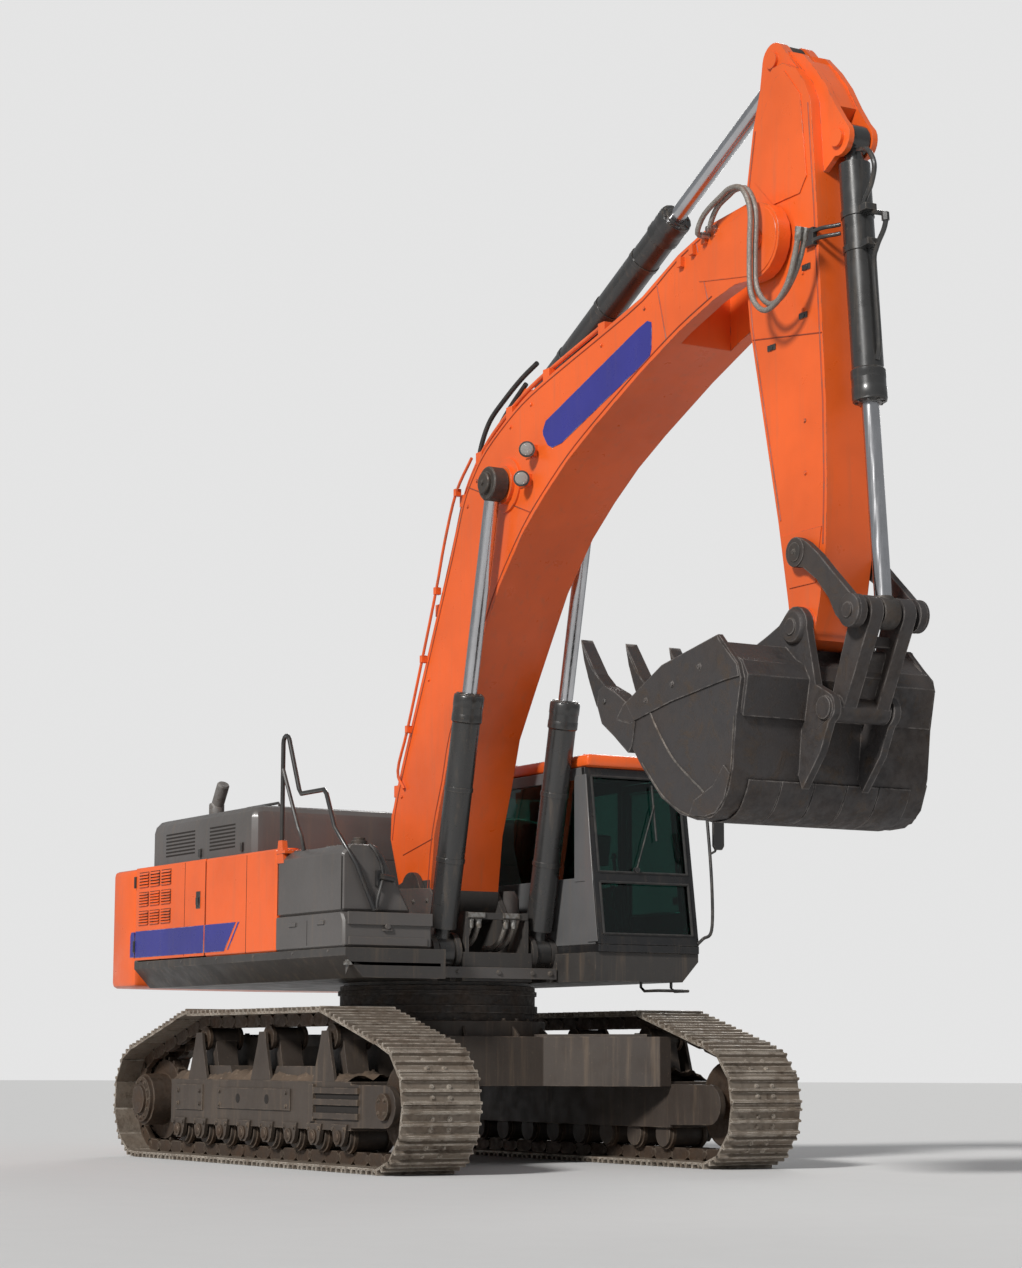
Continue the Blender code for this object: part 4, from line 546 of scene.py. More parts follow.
def build_running_gear():
    for side, word in SIDES:
        middle = side * TRACK_MIDDLE
        outer = middle + side * 0.21
        gear, guards, dark = Shell(), Shell(), Shell()
        for i in range(8):
            x, z = -1.42 + 0.41 * i, 0.2403
            for y in (middle - 0.155, middle + 0.125):
                gear.pin((x, z), y, y + 0.03, 0.118, 24)
            gear.pin((x, z), outer - side * 0.02, outer + side * 0.035, 0.052, 20)
            gear.dome((x, outer + side * 0.035, z), (0, side, 0), 0.034, 0.014, 14)
            foot = [(x - 0.12, 0.335), (x + 0.12, 0.335), (x + 0.085, 0.215), (x + 0.045, 0.178),
                    (x - 0.045, 0.178),
                    (x - 0.085, 0.215)]
            guards.plate(foot, *proud(outer, side, 0.018, 0.015))
            for dx in (-0.085, 0.085):
                guards.bolt((x + dx, outer + side * 0.018, 0.300), (0, side, 0), 0.015, 0.014)
        for x in (-1.10, 0.08, 1.16):
            for y in (middle - 0.150, middle + 0.118):
                gear.pin((x, 0.966), y, y + 0.03, 0.096, 24)
            gear.pin((x, 0.966), middle + side * 0.15, middle + side * 0.20, 0.045, 16)
            stand = [(x - 0.20, 0.63), (x + 0.17, 0.63), (x + 0.07, 0.93), (x + 0.055, 1.01),
                     (x - 0.055, 1.01), (x - 0.075, 0.93)]
            guards.plate(stand, *sorted((outer - side * 0.03, outer - side * 0.005)))
            guards.plate([(x - 0.34, 0.64), (x - 0.20, 0.64), (x - 0.09, 0.86), (x - 0.13, 0.90)],
                         *sorted((outer - side * 0.18, outer - side * 0.14)))
        for x in (-0.95, 0.62):
            guards.plate([(x - 0.44, 0.64), (x + 0.44, 0.64), (x + 0.36, 0.75), (x - 0.36, 0.75)],
                         *sorted((outer - side * 0.30, outer - side * 0.05)))
        inner = middle - side * 0.285
        guards.plate([(-1.62, 0.66), (-1.30, 0.66), (-1.10, 0.90), (1.20, 0.90), (1.42, 0.66), (1.62, 0.66),
                      (1.42, 0.985), (-1.34, 0.985)], *sorted((inner, inner - side * 0.014)))
        guards.plate([(-1.88, 0.42), (-1.50, 0.42), (-1.30, 0.66), (-1.36, 0.90), (-1.56, 0.90),
                      (-1.84, 0.74)],
                     *sorted((middle - side * 0.150, middle - side * 0.135)))
        for z in (0.575, 0.492, 0.392):
            guards.block((1.02, 1.74), proud(outer, side, 0.020, 0.005), (z - 0.022, z + 0.022))
        dark.block((1.04, 1.72), proud(outer, side, 0.004, 0.004), (0.37, 0.60))
        guards.block((0.96, 1.03), proud(outer, side, 0.024, 0.005), (0.35, 0.62))
        guards.block((-1.50, -0.98), proud(outer, side, 0.012, 0.005), (0.40, 0.60))
        guards.block((-0.70, 0.62), proud(outer, side, 0.014, 0.005), (0.42, 0.58))
        for x in (-1.45, -1.03, -0.64, 0.56):
            for z in (0.45, 0.55):
                guards.bolt((x, outer + side * 0.013, z), (0, side, 0), 0.014, 0.014)
        for x in (-0.30, 0.22):
            dark.pin((x, 0.50), outer + side * 0.006, outer + side * 0.016, 0.036, 20)
        hub = (-WHEEL_X, WHEEL_Z)
        face = middle + side * 0.23
        gear.pin(hub, face - side * 0.01, face + side * 0.028, 0.185, 40)
        gear.pin(hub, face + side * 0.02, face + side * 0.056, 0.115, 32)
        for px, pz in arc(hub, 0.155, 0, 330, 11):
            gear.bolt((px, face + side * 0.028, pz), (0, side, 0), 0.013, 0.014)
        teeth = []
        for i in range(21):
            a = 360 / 21 * i
            teeth += arc(hub, 0.322, a, a + 9, 2) + arc(hub, 0.352, a + 11.5, a + 14.5, 1)
        gear.plate(teeth, middle - 0.035, middle + 0.035)
        nose = (WHEEL_X, WHEEL_Z)
        gear.pin(nose, outer - side * 0.01, outer + side * 0.03, 0.095, 28)
        for px, pz in arc(nose, 0.066, 45, 315, 3):
            gear.bolt((px, outer + side * 0.03, pz), (0, side, 0), 0.013, 0.014)
        gear.pin(nose, middle - 0.062, middle + 0.062, 0.308, 48,
                   [(0, 0.300), (0.12, 0.308), (0.88, 0.308), (1, 0.300)])
        gear.finish("wheels_and_hubs_" + word, "chain_steel", "undercarriage", "shoe_steel", 0.003)
        guards.finish("side_guards_" + word, "frame_enamel", "undercarriage", "undercarriage_brown", 0.006)
        dark.finish("frame_hollows_" + word, "shadow_gap", "undercarriage", "undercarriage_brown")


def build_soil():
    """Soil that has caked on top of the side frames, between the carrier rollers."""
    for side, word in SIDES:
        middle = side * TRACK_MIDDLE
        heap = Shell()
        rows = []
        for i in range(105):
            x = -1.58 + 0.030 * i
            row = []
            for j in range(15):
                y = middle - 0.205 + 0.410 * j / 14
                fade = min(1.0, (1 - abs(j / 7 - 1)) * 4.0)
                lumps = noise.fractal(Vector((x * 3.1, y * 4.2, side)), 0.8, 2.1, 5)
                clods = abs(noise.noise(Vector((x * 11.0, y * 11.0, side * 3))))
                lift = max(0.0, 0.040 + 0.055 * lumps + 0.055 * clods) * fade
                row.append((x, y, 0.641 + lift))
            rows.append(row)
        heap.loft(rows, closed=False, caps=False)
        heap.finish("caked_soil_" + word, "caked_soil", "undercarriage", "undercarriage_brown", round_over=70)


def build_lower_frame():
    ring, ribs = Shell(), Shell()
    for x, y in arc((0, 0), 0.715, 0, 348.75, 31):
        ring.bolt((x, y, 1.376), (0, 0, 1), 0.016, 0.018)
    ring.round((0, 0, 1.16), (0, 0, 1.22), 0.80, 64)
    ring.round((0, 0, 1.30), (0, 0, 1.335), 0.795, 64)
    for x, y in arc((0, 0), 0.825, 0, 350, 35):
        ribs.bolt((x, y, 1.100), (0, 0, 1), 0.016, 0.02)
    for a in range(15, 375, 30):
        way = Vector((math.cos(math.radians(a)), math.sin(math.radians(a))))
        cross = Vector((-way.y, way.x)) * 0.012
        feet = [tuple(way * 0.80 + cross), tuple(way * 0.80 - cross), tuple(way * 0.92 - cross),
                tuple(way * 0.92 + cross)]
        ribs.loft([[(p[0], p[1], 0.96) for p in feet], [(p[0], p[1], 0.99) for p in feet],
                   [(p[0] * (1 if i < 2 else 0.90), p[1] * (1 if i < 2 else 0.90), 1.09) for i,
                    p in enumerate(feet)]])
    for sx in (-1, 1):
        for sy in (-1, 1):
            leg = [(sx * 0.62, sy * 0.50), (sx * 0.70, sy * 0.46), (sx * 1.50, sy * 1.02),
                   (sx * 1.45, sy * 1.10)]
            ribs.plate(leg, 0.975, 1.0, "plan")
            ribs.bolt((sx * 1.30, sy * 1.06, 0.98), (0, 0, 1), 0.022, 0.03)
    ring.finish("slew_ring_bands", "bare_casting", "undercarriage", "ring_steel", 0.003)
    ribs.finish("lower_frame_ribs", "frame_enamel", "undercarriage", "undercarriage_brown", 0.005)


# ---- house ---------------------------------------------------------------------------
def build_service_doors():
    for side, word in SIDES:
        face = side * HALF_HOUSE
        body = word + "_service_door"
        gaps, blades, plate, latch = Shell(), Shell(), Shell(), Shell()
        for low, high in ((2.25, 2.38), (2.09, 2.21), (1.93, 2.05)):
            for column in range(3):
                x = -2.62 + column * 0.235
                gaps.block((x, x + 0.205), proud(face, side, 0.0015), (low, high))
                for blade in range(5):
                    z = low + (high - low) * (blade + 0.15) / 5
                    bend = [(face + side * 0.001, z), (face + side * 0.012, z - 0.004),
                            (face + side * 0.014, z + 0.002),
                            (face + side * 0.001, z + 0.016)]
                    blades.plate(bend, x + 0.006, x + 0.199, "front")
        plate.plate([(-2.685, 1.655), (-1.262, 1.655), (-1.262, 1.880), (-2.685, 1.880)],
                    *proud(face, side, 0.003))
        latch.block((-1.42, -1.34), proud(face, side, 0.006), (2.02, 2.16))
        latch.block((-1.405, -1.355), proud(face, side, 0.016), (2.05, 2.11))
        for z in (1.75, 2.30):
            latch.round((-2.700, face + side * 0.004, z - 0.05), (-2.700, face + side * 0.004, z + 0.05),
                        0.014, 14)
        gaps.block((-1.66, -1.654), proud(face, side, 0.0012), (1.64, 2.41))
        gaps.finish(f"louvre_recess_{word}", "shadow_gap", body, "orange")
        blades.finish(f"louvre_blades_{word}", "orange_enamel", body, "orange", 0.001)
        plate.finish(f"door_label_{word}", "label_blue", body, "orange", 0.001)
        latch.finish(f"door_latch_{word}", "rail_enamel", body, "rail_black", 0.003)


def build_house_sides():
    gaps, plate, trim, bolts = Shell(), Shell(), Shell(), Shell()
    for side in (-1, 1):
        face = side * HALF_HOUSE
        if side < 0:
            plate.plate([(-1.238, 1.655), (-0.86, 1.655), (-0.64, 1.880), (-1.238, 1.880)],
                        *proud(face, side, 0.003))
            swoosh = [(-0.80, 1.665), (-0.775, 1.665), (-0.57, 1.880), (-0.60, 1.880)]
            plate.plate(swoosh, *proud(face, side, 0.003))
        for x in (-1.243, -0.45):
            gaps.block((x - 0.003, x + 0.003), proud(face, side, 0.0012, 0.001), (1.63, 2.40))
        trim.block((-2.68, 1.20), sorted((face - side * 0.03, face - side * 0.002)), (1.575, 1.618))
        for x in (-2.4, -1.7, -1.0, -0.3, 0.4, 1.0):
            trim.bolt((x, face - side * 0.002, 1.597), (0, side, 0), 0.011, 0.008)
    for x, y in ((-1.0, -1.25), (-0.3, -1.25), (-1.0, -0.85), (-0.3, -0.85), (-1.0, 0.95), (-0.6, 0.95),
                 (-1.0, 1.3)):
        bolts.bolt((x, y, DECK_TOP), (0, 0, 1), 0.014, 0.012)
    bolts.round((-0.55, -1.05, 2.42), (-0.55, -1.05, 2.455), 0.085, 32)
    bolts.round((-0.55, -1.05, 2.455), (-0.55, -1.05, 2.478), 0.060, 28)
    gaps.block((-0.92, -0.915), (-1.46, -0.66), (2.419, 2.4212))
    gaps.finish("house_seams", "shadow_gap", "upperstructure", "house_grey")
    plate.finish("house_label", "label_blue", "upperstructure", "orange", 0.001)
    trim.finish("deck_rub_strip", "house_enamel", "upperstructure", "house_grey", 0.004)
    bolts.finish("tank_top_fittings", "orange_enamel", "upperstructure", "orange", 0.003)


def build_counterweight():
    seam, eyes, lamps, plate = Shell(), Shell(), Shell(), Shell()
    for y in (-0.85, 0.85):
        eyes.block((-3.12, -2.98), (y - 0.09, y + 0.09), (2.418, 2.432))
        loop = [(-3.05, y + dy, z) for dy, z in arc((0.0, 2.432), 0.045, 0, 180, 10)]
        eyes.tube(loop, 0.013, 10)
    for z in (1.62, 2.30):
        ring = [(x, y, z) for x, y in arc((0, 0), 3.5385, 157, 203, 30)]
        seam.tube(ring, 0.004, 6)
    for y in (-1.12, 1.12):
        x = -math.sqrt(TAIL_RADIUS ** 2 - y ** 2)
        lamps.block((x - 0.006, x + 0.03), (y - 0.09, y + 0.09), (1.86, 1.93))
        lamps.block((x - 0.006, x + 0.03), (y - 0.09, y + 0.09), (1.96, 2.00))
    plate.plate([(-2.80, 1.66), (-2.713, 1.66), (-2.713, 1.875), (-2.78, 1.875), (-2.80, 1.84)],
                -HALF_HOUSE - 0.001, -HALF_HOUSE + 0.004)
    for y in (-0.5, 0.0, 0.5):
        eyes.bolt((-3.30, y, DECK_TOP), (0, 0, 1), 0.022, 0.02)
    seam.finish("counterweight_grooves", "shadow_gap", "upperstructure", "orange")
    eyes.finish("lifting_eyes", "bare_casting", "upperstructure", "ring_steel", 0.003)
    lamps.finish("rear_reflectors", "red_reflector", "upperstructure", "orange", 0.003)
    plate.finish("counterweight_label", "label_blue", "upperstructure", "orange")


def build_engine_hood():
    top, gaps, grips = Shell(), Shell(), Shell()
    top.plate([(-2.36, -0.98), (-1.02, -0.98), (-0.96, -0.92), (-0.96, 0.92), (-1.02, 0.98), (-2.36, 0.98),
               (-2.42, 0.92), (-2.42, -0.92)], 2.826, 2.848, "plan")
    for y in (-0.66, 0.66):
        for i in range(9):
            x = -2.10 + 0.075 * i
            gaps.block((x, x + 0.030), (y - 0.17, y + 0.17), (2.847, 2.8492))
    for side in (-1, 1):
        face = side * HOOD_SIDE
        for i in range(7):
            z = 2.50 + 0.030 * i
            gaps.block((-2.35, -1.75), proud(face, side, 0.0015), (z, z + 0.014))
            gaps.block((-1.45, -0.95), proud(face, side, 0.0015), (z, z + 0.014))
        for x in (-1.62, -0.80):
            grips.block((x - 0.02, x + 0.02), proud(face, side, 0.020), (2.46, 2.53))
        grip = [(-1.95, HOOD_TOP), (-1.95, 2.90), (-1.93, 2.915), (-1.32, 2.915), (-1.30, 2.90),
                (-1.30, HOOD_TOP)]
        grips.tube([(x, side * 0.80, z) for x, z in grip], 0.012, 10)
    for x in (-2.30, -1.08):
        for y in (-0.9, -0.3, 0.3, 0.9):
            grips.bolt((x, y, HOOD_TOP), (0, 0, 1), 0.012, 0.010)
    stack = Shell()
    stack.round((-2.30, -0.92, 2.831), (-2.30, -0.92, 2.85), 0.10, 28)
    stack.round((-2.30, -0.92, 2.86), (-2.30, -0.92, 2.98), 0.066, 28,
                [(0, 0.060), (0.1, 0.066), (0.9, 0.066), (1, 0.060)])
    for start in (0.0, 0.008):
        bend = [(-2.30, -0.92, 2.84), (-2.30, -0.92, 2.92), (-2.28, -0.92, 2.97),
                (-2.17 + start, -0.92, 3.13 + start)]
        stack.tube(bend, 0.054 - start, 24)
    made = stack.finish("exhaust_stack", "stack_steel", "hood", "exhaust_steel", 0.002)
    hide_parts("exhaust_pipe")
    top.finish("hood_lid", "house_enamel", "hood", "house_grey", 0.010)
    gaps.finish("hood_vents", "shadow_gap", "hood", "house_grey")
    grips.finish("hood_grips", "rail_enamel", "hood", "rail_black", 0.002)


def build_tank_and_steps():
    body, gaps, steps, cap = Shell(), Shell(), Shell(), Shell()
    for x in (0.10, 1.19):
        gaps.block((x - 0.003, x + 0.003), (-HALF_HOUSE + 0.010, -HALF_HOUSE + 0.013), (1.90, 2.30))
    gaps.block((0.64, 0.646), (-HALF_HOUSE - 0.001, -HALF_HOUSE + 0.001), (1.65, 1.84))
    for x, y in ((0.22, -1.30), (0.50, -1.22), (0.78, -1.30), (0.22, -1.12), (0.78, -1.12)):
        steps.block((x - 0.11, x + 0.11), (y - 0.055, y + 0.055), (2.391, 2.399))
        for i in range(4):
            steps.block((x - 0.10 + 0.055 * i, x - 0.075 + 0.055 * i), (y - 0.045, y + 0.045), (2.399, 2.405))
    cap.round((1.02, -1.24, 2.389), (1.02, -1.24, 2.43), 0.062, 28)
    cap.round((1.02, -1.24, 2.43), (1.02, -1.24, 2.452), 0.046, 24)
    steps.block((1.235, 1.29), (-1.47, -0.68), (1.49, 1.515))
    for i in range(9):
        steps.block((1.24, 1.285), (-1.46 + 0.085 * i, -1.42 + 0.085 * i), (1.515, 1.528))
    for y in (-1.44, -1.10, -0.74):
        body.plate([(1.22, 1.60), (1.285, 1.60), (1.285, 1.50), (1.22, 1.42)], y - 0.006, y + 0.006)
    body.block((1.248, 1.268), (-1.45, -0.74), (1.790, 1.884))
    body.block((1.248, 1.262), (-1.44, -0.78), (1.64, 1.70))
    body.round((1.25, -1.12, 1.78), (1.275, -1.12, 1.78), 0.022, 18)
    body.block((1.25, 1.268), (-1.16, -1.08), (1.745, 1.76))
    body.block((0.34, 0.46), (-HALF_HOUSE - 0.012, -HALF_HOUSE + 0.002), (1.80, 1.83))
    body.block((0.82, 0.94), (-HALF_HOUSE - 0.012, -HALF_HOUSE + 0.002), (1.80, 1.83))
    bracket = Shell()
    bracket.plate([(0.07, 2.30), (0.20, 2.30), (0.165, 2.48), (0.10, 2.48)], -1.476, -1.428)
    bracket.block((0.05, 0.23), (-1.480, -1.40), (2.375, 2.400))
    gaps.finish("tank_seams", "shadow_gap", "upperstructure", "house_grey")
    steps.finish("step_treads", "zinc_steel", "upperstructure", "house_grey", 0.001)
    body.finish("tool_box_fittings", "house_enamel", "upperstructure", "house_grey", 0.003)
    cap.finish("filler_cap", "bare_casting", "upperstructure", "house_grey", 0.003)
    bracket.finish("handrail_bracket", "orange_enamel", "upperstructure", "orange", 0.003)
    rail = Shell()
    y = -1.452
    run = [(0.12, 2.36), (0.12, 3.20), *arc((0.175, 3.24), 0.055, 180, 20, 6), (0.41, 2.86), (0.45, 2.82),
           (0.84, 2.82), (0.885, 2.785), (1.03, 2.52)]
    rail.tube([(x, y, z) for x, z in run] + [(1.17, -1.435, 2.38), (1.232, -1.37, 2.24),
                                             (1.238, -1.22, 1.90)], 0.018, 12)
    rail.tube([(0.125, y, 3.035), (0.36, y + 0.02, 2.57), (0.40, y + 0.03, 2.50), (0.40, y + 0.06, 2.37)],
              0.016, 10)
    made = rail.finish("handrail_bars", "rail_enamel", "upperstructure", "rail_black")
    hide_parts("handrail")
    grip = Shell()
    grip.tube(smooth([(1.20, -1.24, 2.39), (1.236, -1.215, 2.34), (1.24, -1.165, 2.24), (1.245, -1.155, 2.14),
                      (1.24, -1.19, 2.00), (1.236, -1.205, 1.90)], 4), 0.015, 10)
    grip.round((1.245, -1.18, 2.15), (1.262, -1.07, 2.13), 0.026, 14)
    grip.block((1.202, 1.24), (-1.20, -1.15), (2.08, 2.20))
    made = grip.finish("grab_rail_bar", "rail_enamel", "upperstructure", "rail_black", 0.002)
    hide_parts("grab_rail")


def build_frame_fittings():
    plates, pins, hoses = Shell(), Shell(), Shell()
    for side in (-1, 1):
        for x, z in ((0.08, 2.03), (0.30, 2.03), (0.52, 2.03), (0.56, 1.80), (0.10, 1.80)):
            pins.bolt((x, side * 0.386, z), (0, side, 0), 0.014, 0.012)
        outer = side * (CYLINDER_Y + 0.121)
        pins.pin(BOOM_CYLINDER_FOOT, outer, outer + side * 0.018, 0.072, 28)
        pins.bolt((BOOM_CYLINDER_FOOT[0], outer + side * 0.018, BOOM_CYLINDER_FOOT[1]), (0, side, 0), 0.018,
                  0.014)
        plates.plate([(-0.34, 1.63), (-0.10, 2.10), (0.05, 2.145), (0.56, 2.125), (0.63, 2.06),
                      (0.655, 1.63)],
                     *sorted((side * 0.372, side * 0.386)))
    plates.block((-0.12, 0.50), (-0.30, -0.285), (1.56, 1.62))
    plates.block((0.955, 0.985), (-0.62, 0.52), (1.42, 1.505))
    for y in (-0.55, -0.36, 0.0, 0.30, 0.46):
        plates.bolt((0.985, y, 1.465), (1, 0, 0), 0.016, 0.014)
    for y in BOOM_HOSE_Y:
        hoses.round((0.93, y, 1.905), (0.93, y, 1.925), 0.022, 14)
        hoses.round((0.93, y, 1.835), (0.93, y, 1.876), 0.026, 6)
    for y in (-0.19, 0.12):
        hoses.block((0.955, 0.972), (y - 0.075, y + 0.075), (1.885, 1.925))
    plates.finish("frame_plates", "house_enamel", "upperstructure", "house_grey", 0.005)
    pins.finish("frame_pin_caps", "bare_casting", "upperstructure", "ring_steel", 0.003)
    hoses.finish("hose_bar_fittings", "zinc_steel", "upperstructure", "rod_chrome", 0.002)


# ---- cab -----------------------------------------------------------------------------
def front_x(z):
    return 1.55 + (1.34 - 1.55) * (z - CAB_LOW) / (CAB_HIGH - CAB_LOW)


def build_cab_outside():
    seal, bars, bolts = Shell(), Shell(), Shell()
    for low, high in ((2.24, 2.99), (1.76, 2.16)):
        for y in (CAB_RIGHT + 0.055, CAB_LEFT - 0.055):
            line = [(front_x(z) + 0.002, y, z) for z in (low, (low + high) / 2, high)]
            seal.tube(line, 0.010, 8)
        for z in (low, high):
            seal.tube([(front_x(z) + 0.002, CAB_RIGHT + 0.055, z), (front_x(z) + 0.002, CAB_LEFT - 0.055, z)],
                      0.010, 8)
    pivot = (front_x(2.26) + 0.012, 0.95, 2.262)
    bars.round((pivot[0] - 0.02, pivot[1], pivot[2]), (pivot[0] + 0.016, pivot[1], pivot[2]), 0.022, 16)
    tip = (front_x(2.78) + 0.020, 1.16, 2.78)
    bars.tube([pivot, between(pivot, tip, 0.5), tip], 0.006, 8)
    blade = [(front_x(z) + 0.011, 1.16, z) for z in (2.50, 2.74, 2.94)]
    seal.tube(blade, 0.008, 6)
    hand = [(1.575, 1.50, 1.74), (1.64, 1.535, 1.80), (1.645, 1.54, 2.10), (1.60, 1.54, 2.55),
            (1.545, 1.535, 2.86), (1.47, 1.50, 2.90), (1.40, 1.475, 2.90)]
    bars.tube(smooth(hand, 5), 0.013, 10)
    bars.tube([(1.545, 1.47, 1.70), (1.575, 1.50, 1.74)], 0.013, 10)
    bars.tube([(1.62, 1.54, 2.40), (1.66, 1.56, 2.42), (1.68, 1.565, 2.46)], 0.010, 8)
    bars.plate([(1.545, 2.43), (1.605, 2.43), (1.625, 2.46), (1.625, 2.66), (1.605, 2.69), (1.545, 2.69),
                (1.525, 2.66), (1.525, 2.46)], 1.672, 1.694, "front")
    step = [(1.42, 1.60), (1.42, 1.36), (1.47, 1.33), (1.66, 1.33)]
    bars.tube([(x, 1.30, z) for x, z in step], 0.012, 8)
    bars.tube([(1.66, 1.30, 1.33), (1.66, 1.02, 1.33), (1.47, 1.02, 1.33), (1.42, 1.02, 1.36),
               (1.42, 1.02, 1.60)], 0.012, 8)
    for z in (2.35, 2.85):
        bars.round((0.506, CAB_LEFT + 0.008, z - 0.05), (0.506, CAB_LEFT + 0.008, z + 0.05), 0.014, 14)
    grab = [(0.40, CAB_LEFT, 2.05), (0.40, CAB_LEFT + 0.05, 2.07), (0.40, CAB_LEFT + 0.05, 2.75),
            (0.40, CAB_LEFT, 2.77)]
    bars.tube(smooth(grab, 3), 0.012, 10)
    for x in (-0.30, 0.20, 0.80, 1.25):
        for y in (CAB_RIGHT + 0.06, CAB_LEFT - 0.06):
            bolts.bolt((x, y, 3.16), (0, 0, 1), 0.011, 0.010)
    bolts.plate([(-0.10, 0.72), (0.62, 0.72), (0.66, 0.76), (0.66, 1.28), (0.62, 1.32), (-0.10, 1.32),
                 (-0.14, 1.28), (-0.14, 0.76)], 3.155, 3.178, "plan")
    pillar = Shell()
    pillar.plate([(1.20, 2.17), (1.472, 2.17), (1.372, 3.00), (1.20, 3.00)], CAB_RIGHT - 0.006,
                 CAB_RIGHT + 0.001)
    pillar.plate([(1.40, 1.70), (1.545, 1.70), (1.474, 2.17), (1.372, 3.00), (1.33, 3.00), (1.36, 2.17)],
                 CAB_RIGHT - 0.010, CAB_RIGHT - 0.005)
    pillar.finish("cab_front_pillar", "cab_enamel", "upperstructure", "cab_grey", 0.003)
    seal.finish("window_seals", "black_rubber", "upperstructure", "rail_black")
    bars.finish("cab_hand_bars", "rail_enamel", "upperstructure", "rail_black", 0.002)
    bolts.finish("cab_roof_fittings", "orange_enamel", "upperstructure", "orange", 0.004)
    latch = Shell()
    latch.block((1.18, 1.30), (CAB_LEFT, CAB_LEFT + 0.010), (2.02, 2.08))
    latch.block((1.20, 1.28), (CAB_LEFT + 0.010, CAB_LEFT + 0.030), (2.045, 2.062))
    ring = [(0.575, 1.96), (1.385, 1.96), (1.365, 2.10), (1.26, 2.94), (0.575, 2.94), (0.575, 1.96)]
    latch.tube([(x, CAB_LEFT - 0.002, z) for x, z in ring], 0.009, 6)
    latch.finish("cab_door_latch", "black_rubber", "operator_door", "rail_black", 0.002)


def cushion(name, centre, size, lean=0.0, crown=0.3):
    """A stuffed pad: full in the middle, drawn in at its seams."""
    pad = Shell()
    columns, rows = 9, 9
    rims = []
    for face in (-1, 1):
        grid = []
        for i in range(columns):
            row = []
            for j in range(rows):
                u, v = i / (columns - 1) * 2 - 1, j / (rows - 1) * 2 - 1
                full = (1 - abs(u) ** 3) * (1 - abs(v) ** 3)
                groove = 0.12 * math.exp(-((abs(v) - 0.45) / 0.06) ** 2)
                thick = (0.45 + crown * full - groove * full) * face
                pull = 1 - 0.04 * (1 - abs(u)) * abs(v) ** 2
                local = Vector((u * size[0] / 2 * pull, v * size[1] / 2 * pull, thick * size[2]))
                local.rotate(Matrix.Rotation(lean, 3, "Y"))
                row.append(pad.bm.verts.new(at(*(Vector(centre) + local))))
            grid.append(row)
        for i in range(columns - 1):
            for j in range(rows - 1):
                corners = (grid[i][j], grid[i + 1][j], grid[i + 1][j + 1], grid[i][j + 1])
                pad.bm.faces.new(corners if face > 0 else corners[::-1])
        rims.append([grid[i][0] for i in range(columns)] + [grid[-1][j] for j in range(1, rows)]
                    + [grid[i][-1] for i in range(columns - 2, -1, -1)] + [grid[0][j]
                                                                           for j in range(rows - 2, 0, -1)])
    under, over = rims
    for k in range(len(under)):
        n = (k + 1) % len(under)
        pad.bm.faces.new((under[k], under[n], over[n], over[k]))
    made = pad.finish(name, "seat_cloth", "upperstructure", "seat_fabric", round_over=80)
    rounder = made.modifiers.new("Rounded", "SUBSURF")
    rounder.levels = rounder.render_levels = 1
    return made


def build_cab_inside():
    middle = (CAB_RIGHT + CAB_LEFT) / 2
    base = Shell()
    base.block((0.08, 0.50), (middle - 0.20, middle + 0.20), (1.681, 1.80))
    base.block((0.12, 0.46), (middle - 0.16, middle + 0.16), (1.80, 1.97))
    base.plate([(-0.02, 1.97), (0.06, 1.97), (-0.01, 2.60), (-0.09, 2.60)], middle - 0.10, middle + 0.10)
    for side in (-1, 1):
        y = middle + side * 0.30
        base.block((0.06, 0.50), (y - 0.035, y + 0.035), (2.22, 2.26))
        base.plate([(0.00, 2.02), (0.08, 2.02), (0.14, 2.22), (0.04, 2.22)], y - 0.012, y + 0.012)
        base.tube([(0.56, y, 2.24), (0.575, y, 2.34), (0.56, y, 2.42)], 0.014, 10)
        base.dome((0.56, y, 2.42), (0, 0, 1), 0.026, 0.05, 14)
    seat = base.finish("seat_base", "moulded_plastic", "upperstructure", "seat_fabric", 0.006)
    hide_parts("operator_seat")
    cushion("seat_cushion", (0.30, middle, 2.045), (0.52, 0.50, 0.15))
    cushion("seat_back", (0.035, middle, 2.42), (0.62, 0.48, 0.13), -math.radians(96))
    cushion("seat_headrest", (-0.035, middle, 2.83), (0.17, 0.26, 0.09), -math.radians(96))
    desk = Shell()
    desk.block((1.00, 1.30), (0.62, 0.68), (1.70, 2.30))
    desk.plate([(1.12, 2.30), (1.30, 2.30), (1.34, 2.52), (1.30, 2.54)], 0.625, 0.80)
    for y in (0.95, 1.08):
        desk.tube([(1.22, y, 1.69), (1.16, y, 1.90), (1.12, y, 2.14)], 0.012, 10)
        desk.dome((1.12, y, 2.13), (0, 0, 1), 0.022, 0.04, 12)
        desk.plate([(1.20, 1.70), (1.34, 1.78), (1.335, 1.79), (1.195, 1.71)], y - 0.045, y + 0.045)
    desk.block((-0.28, 0.0), (0.66, 1.38), (1.70, 2.10))
    desk.finish("cab_fittings", "moulded_plastic", "upperstructure", "house_grey", 0.006)


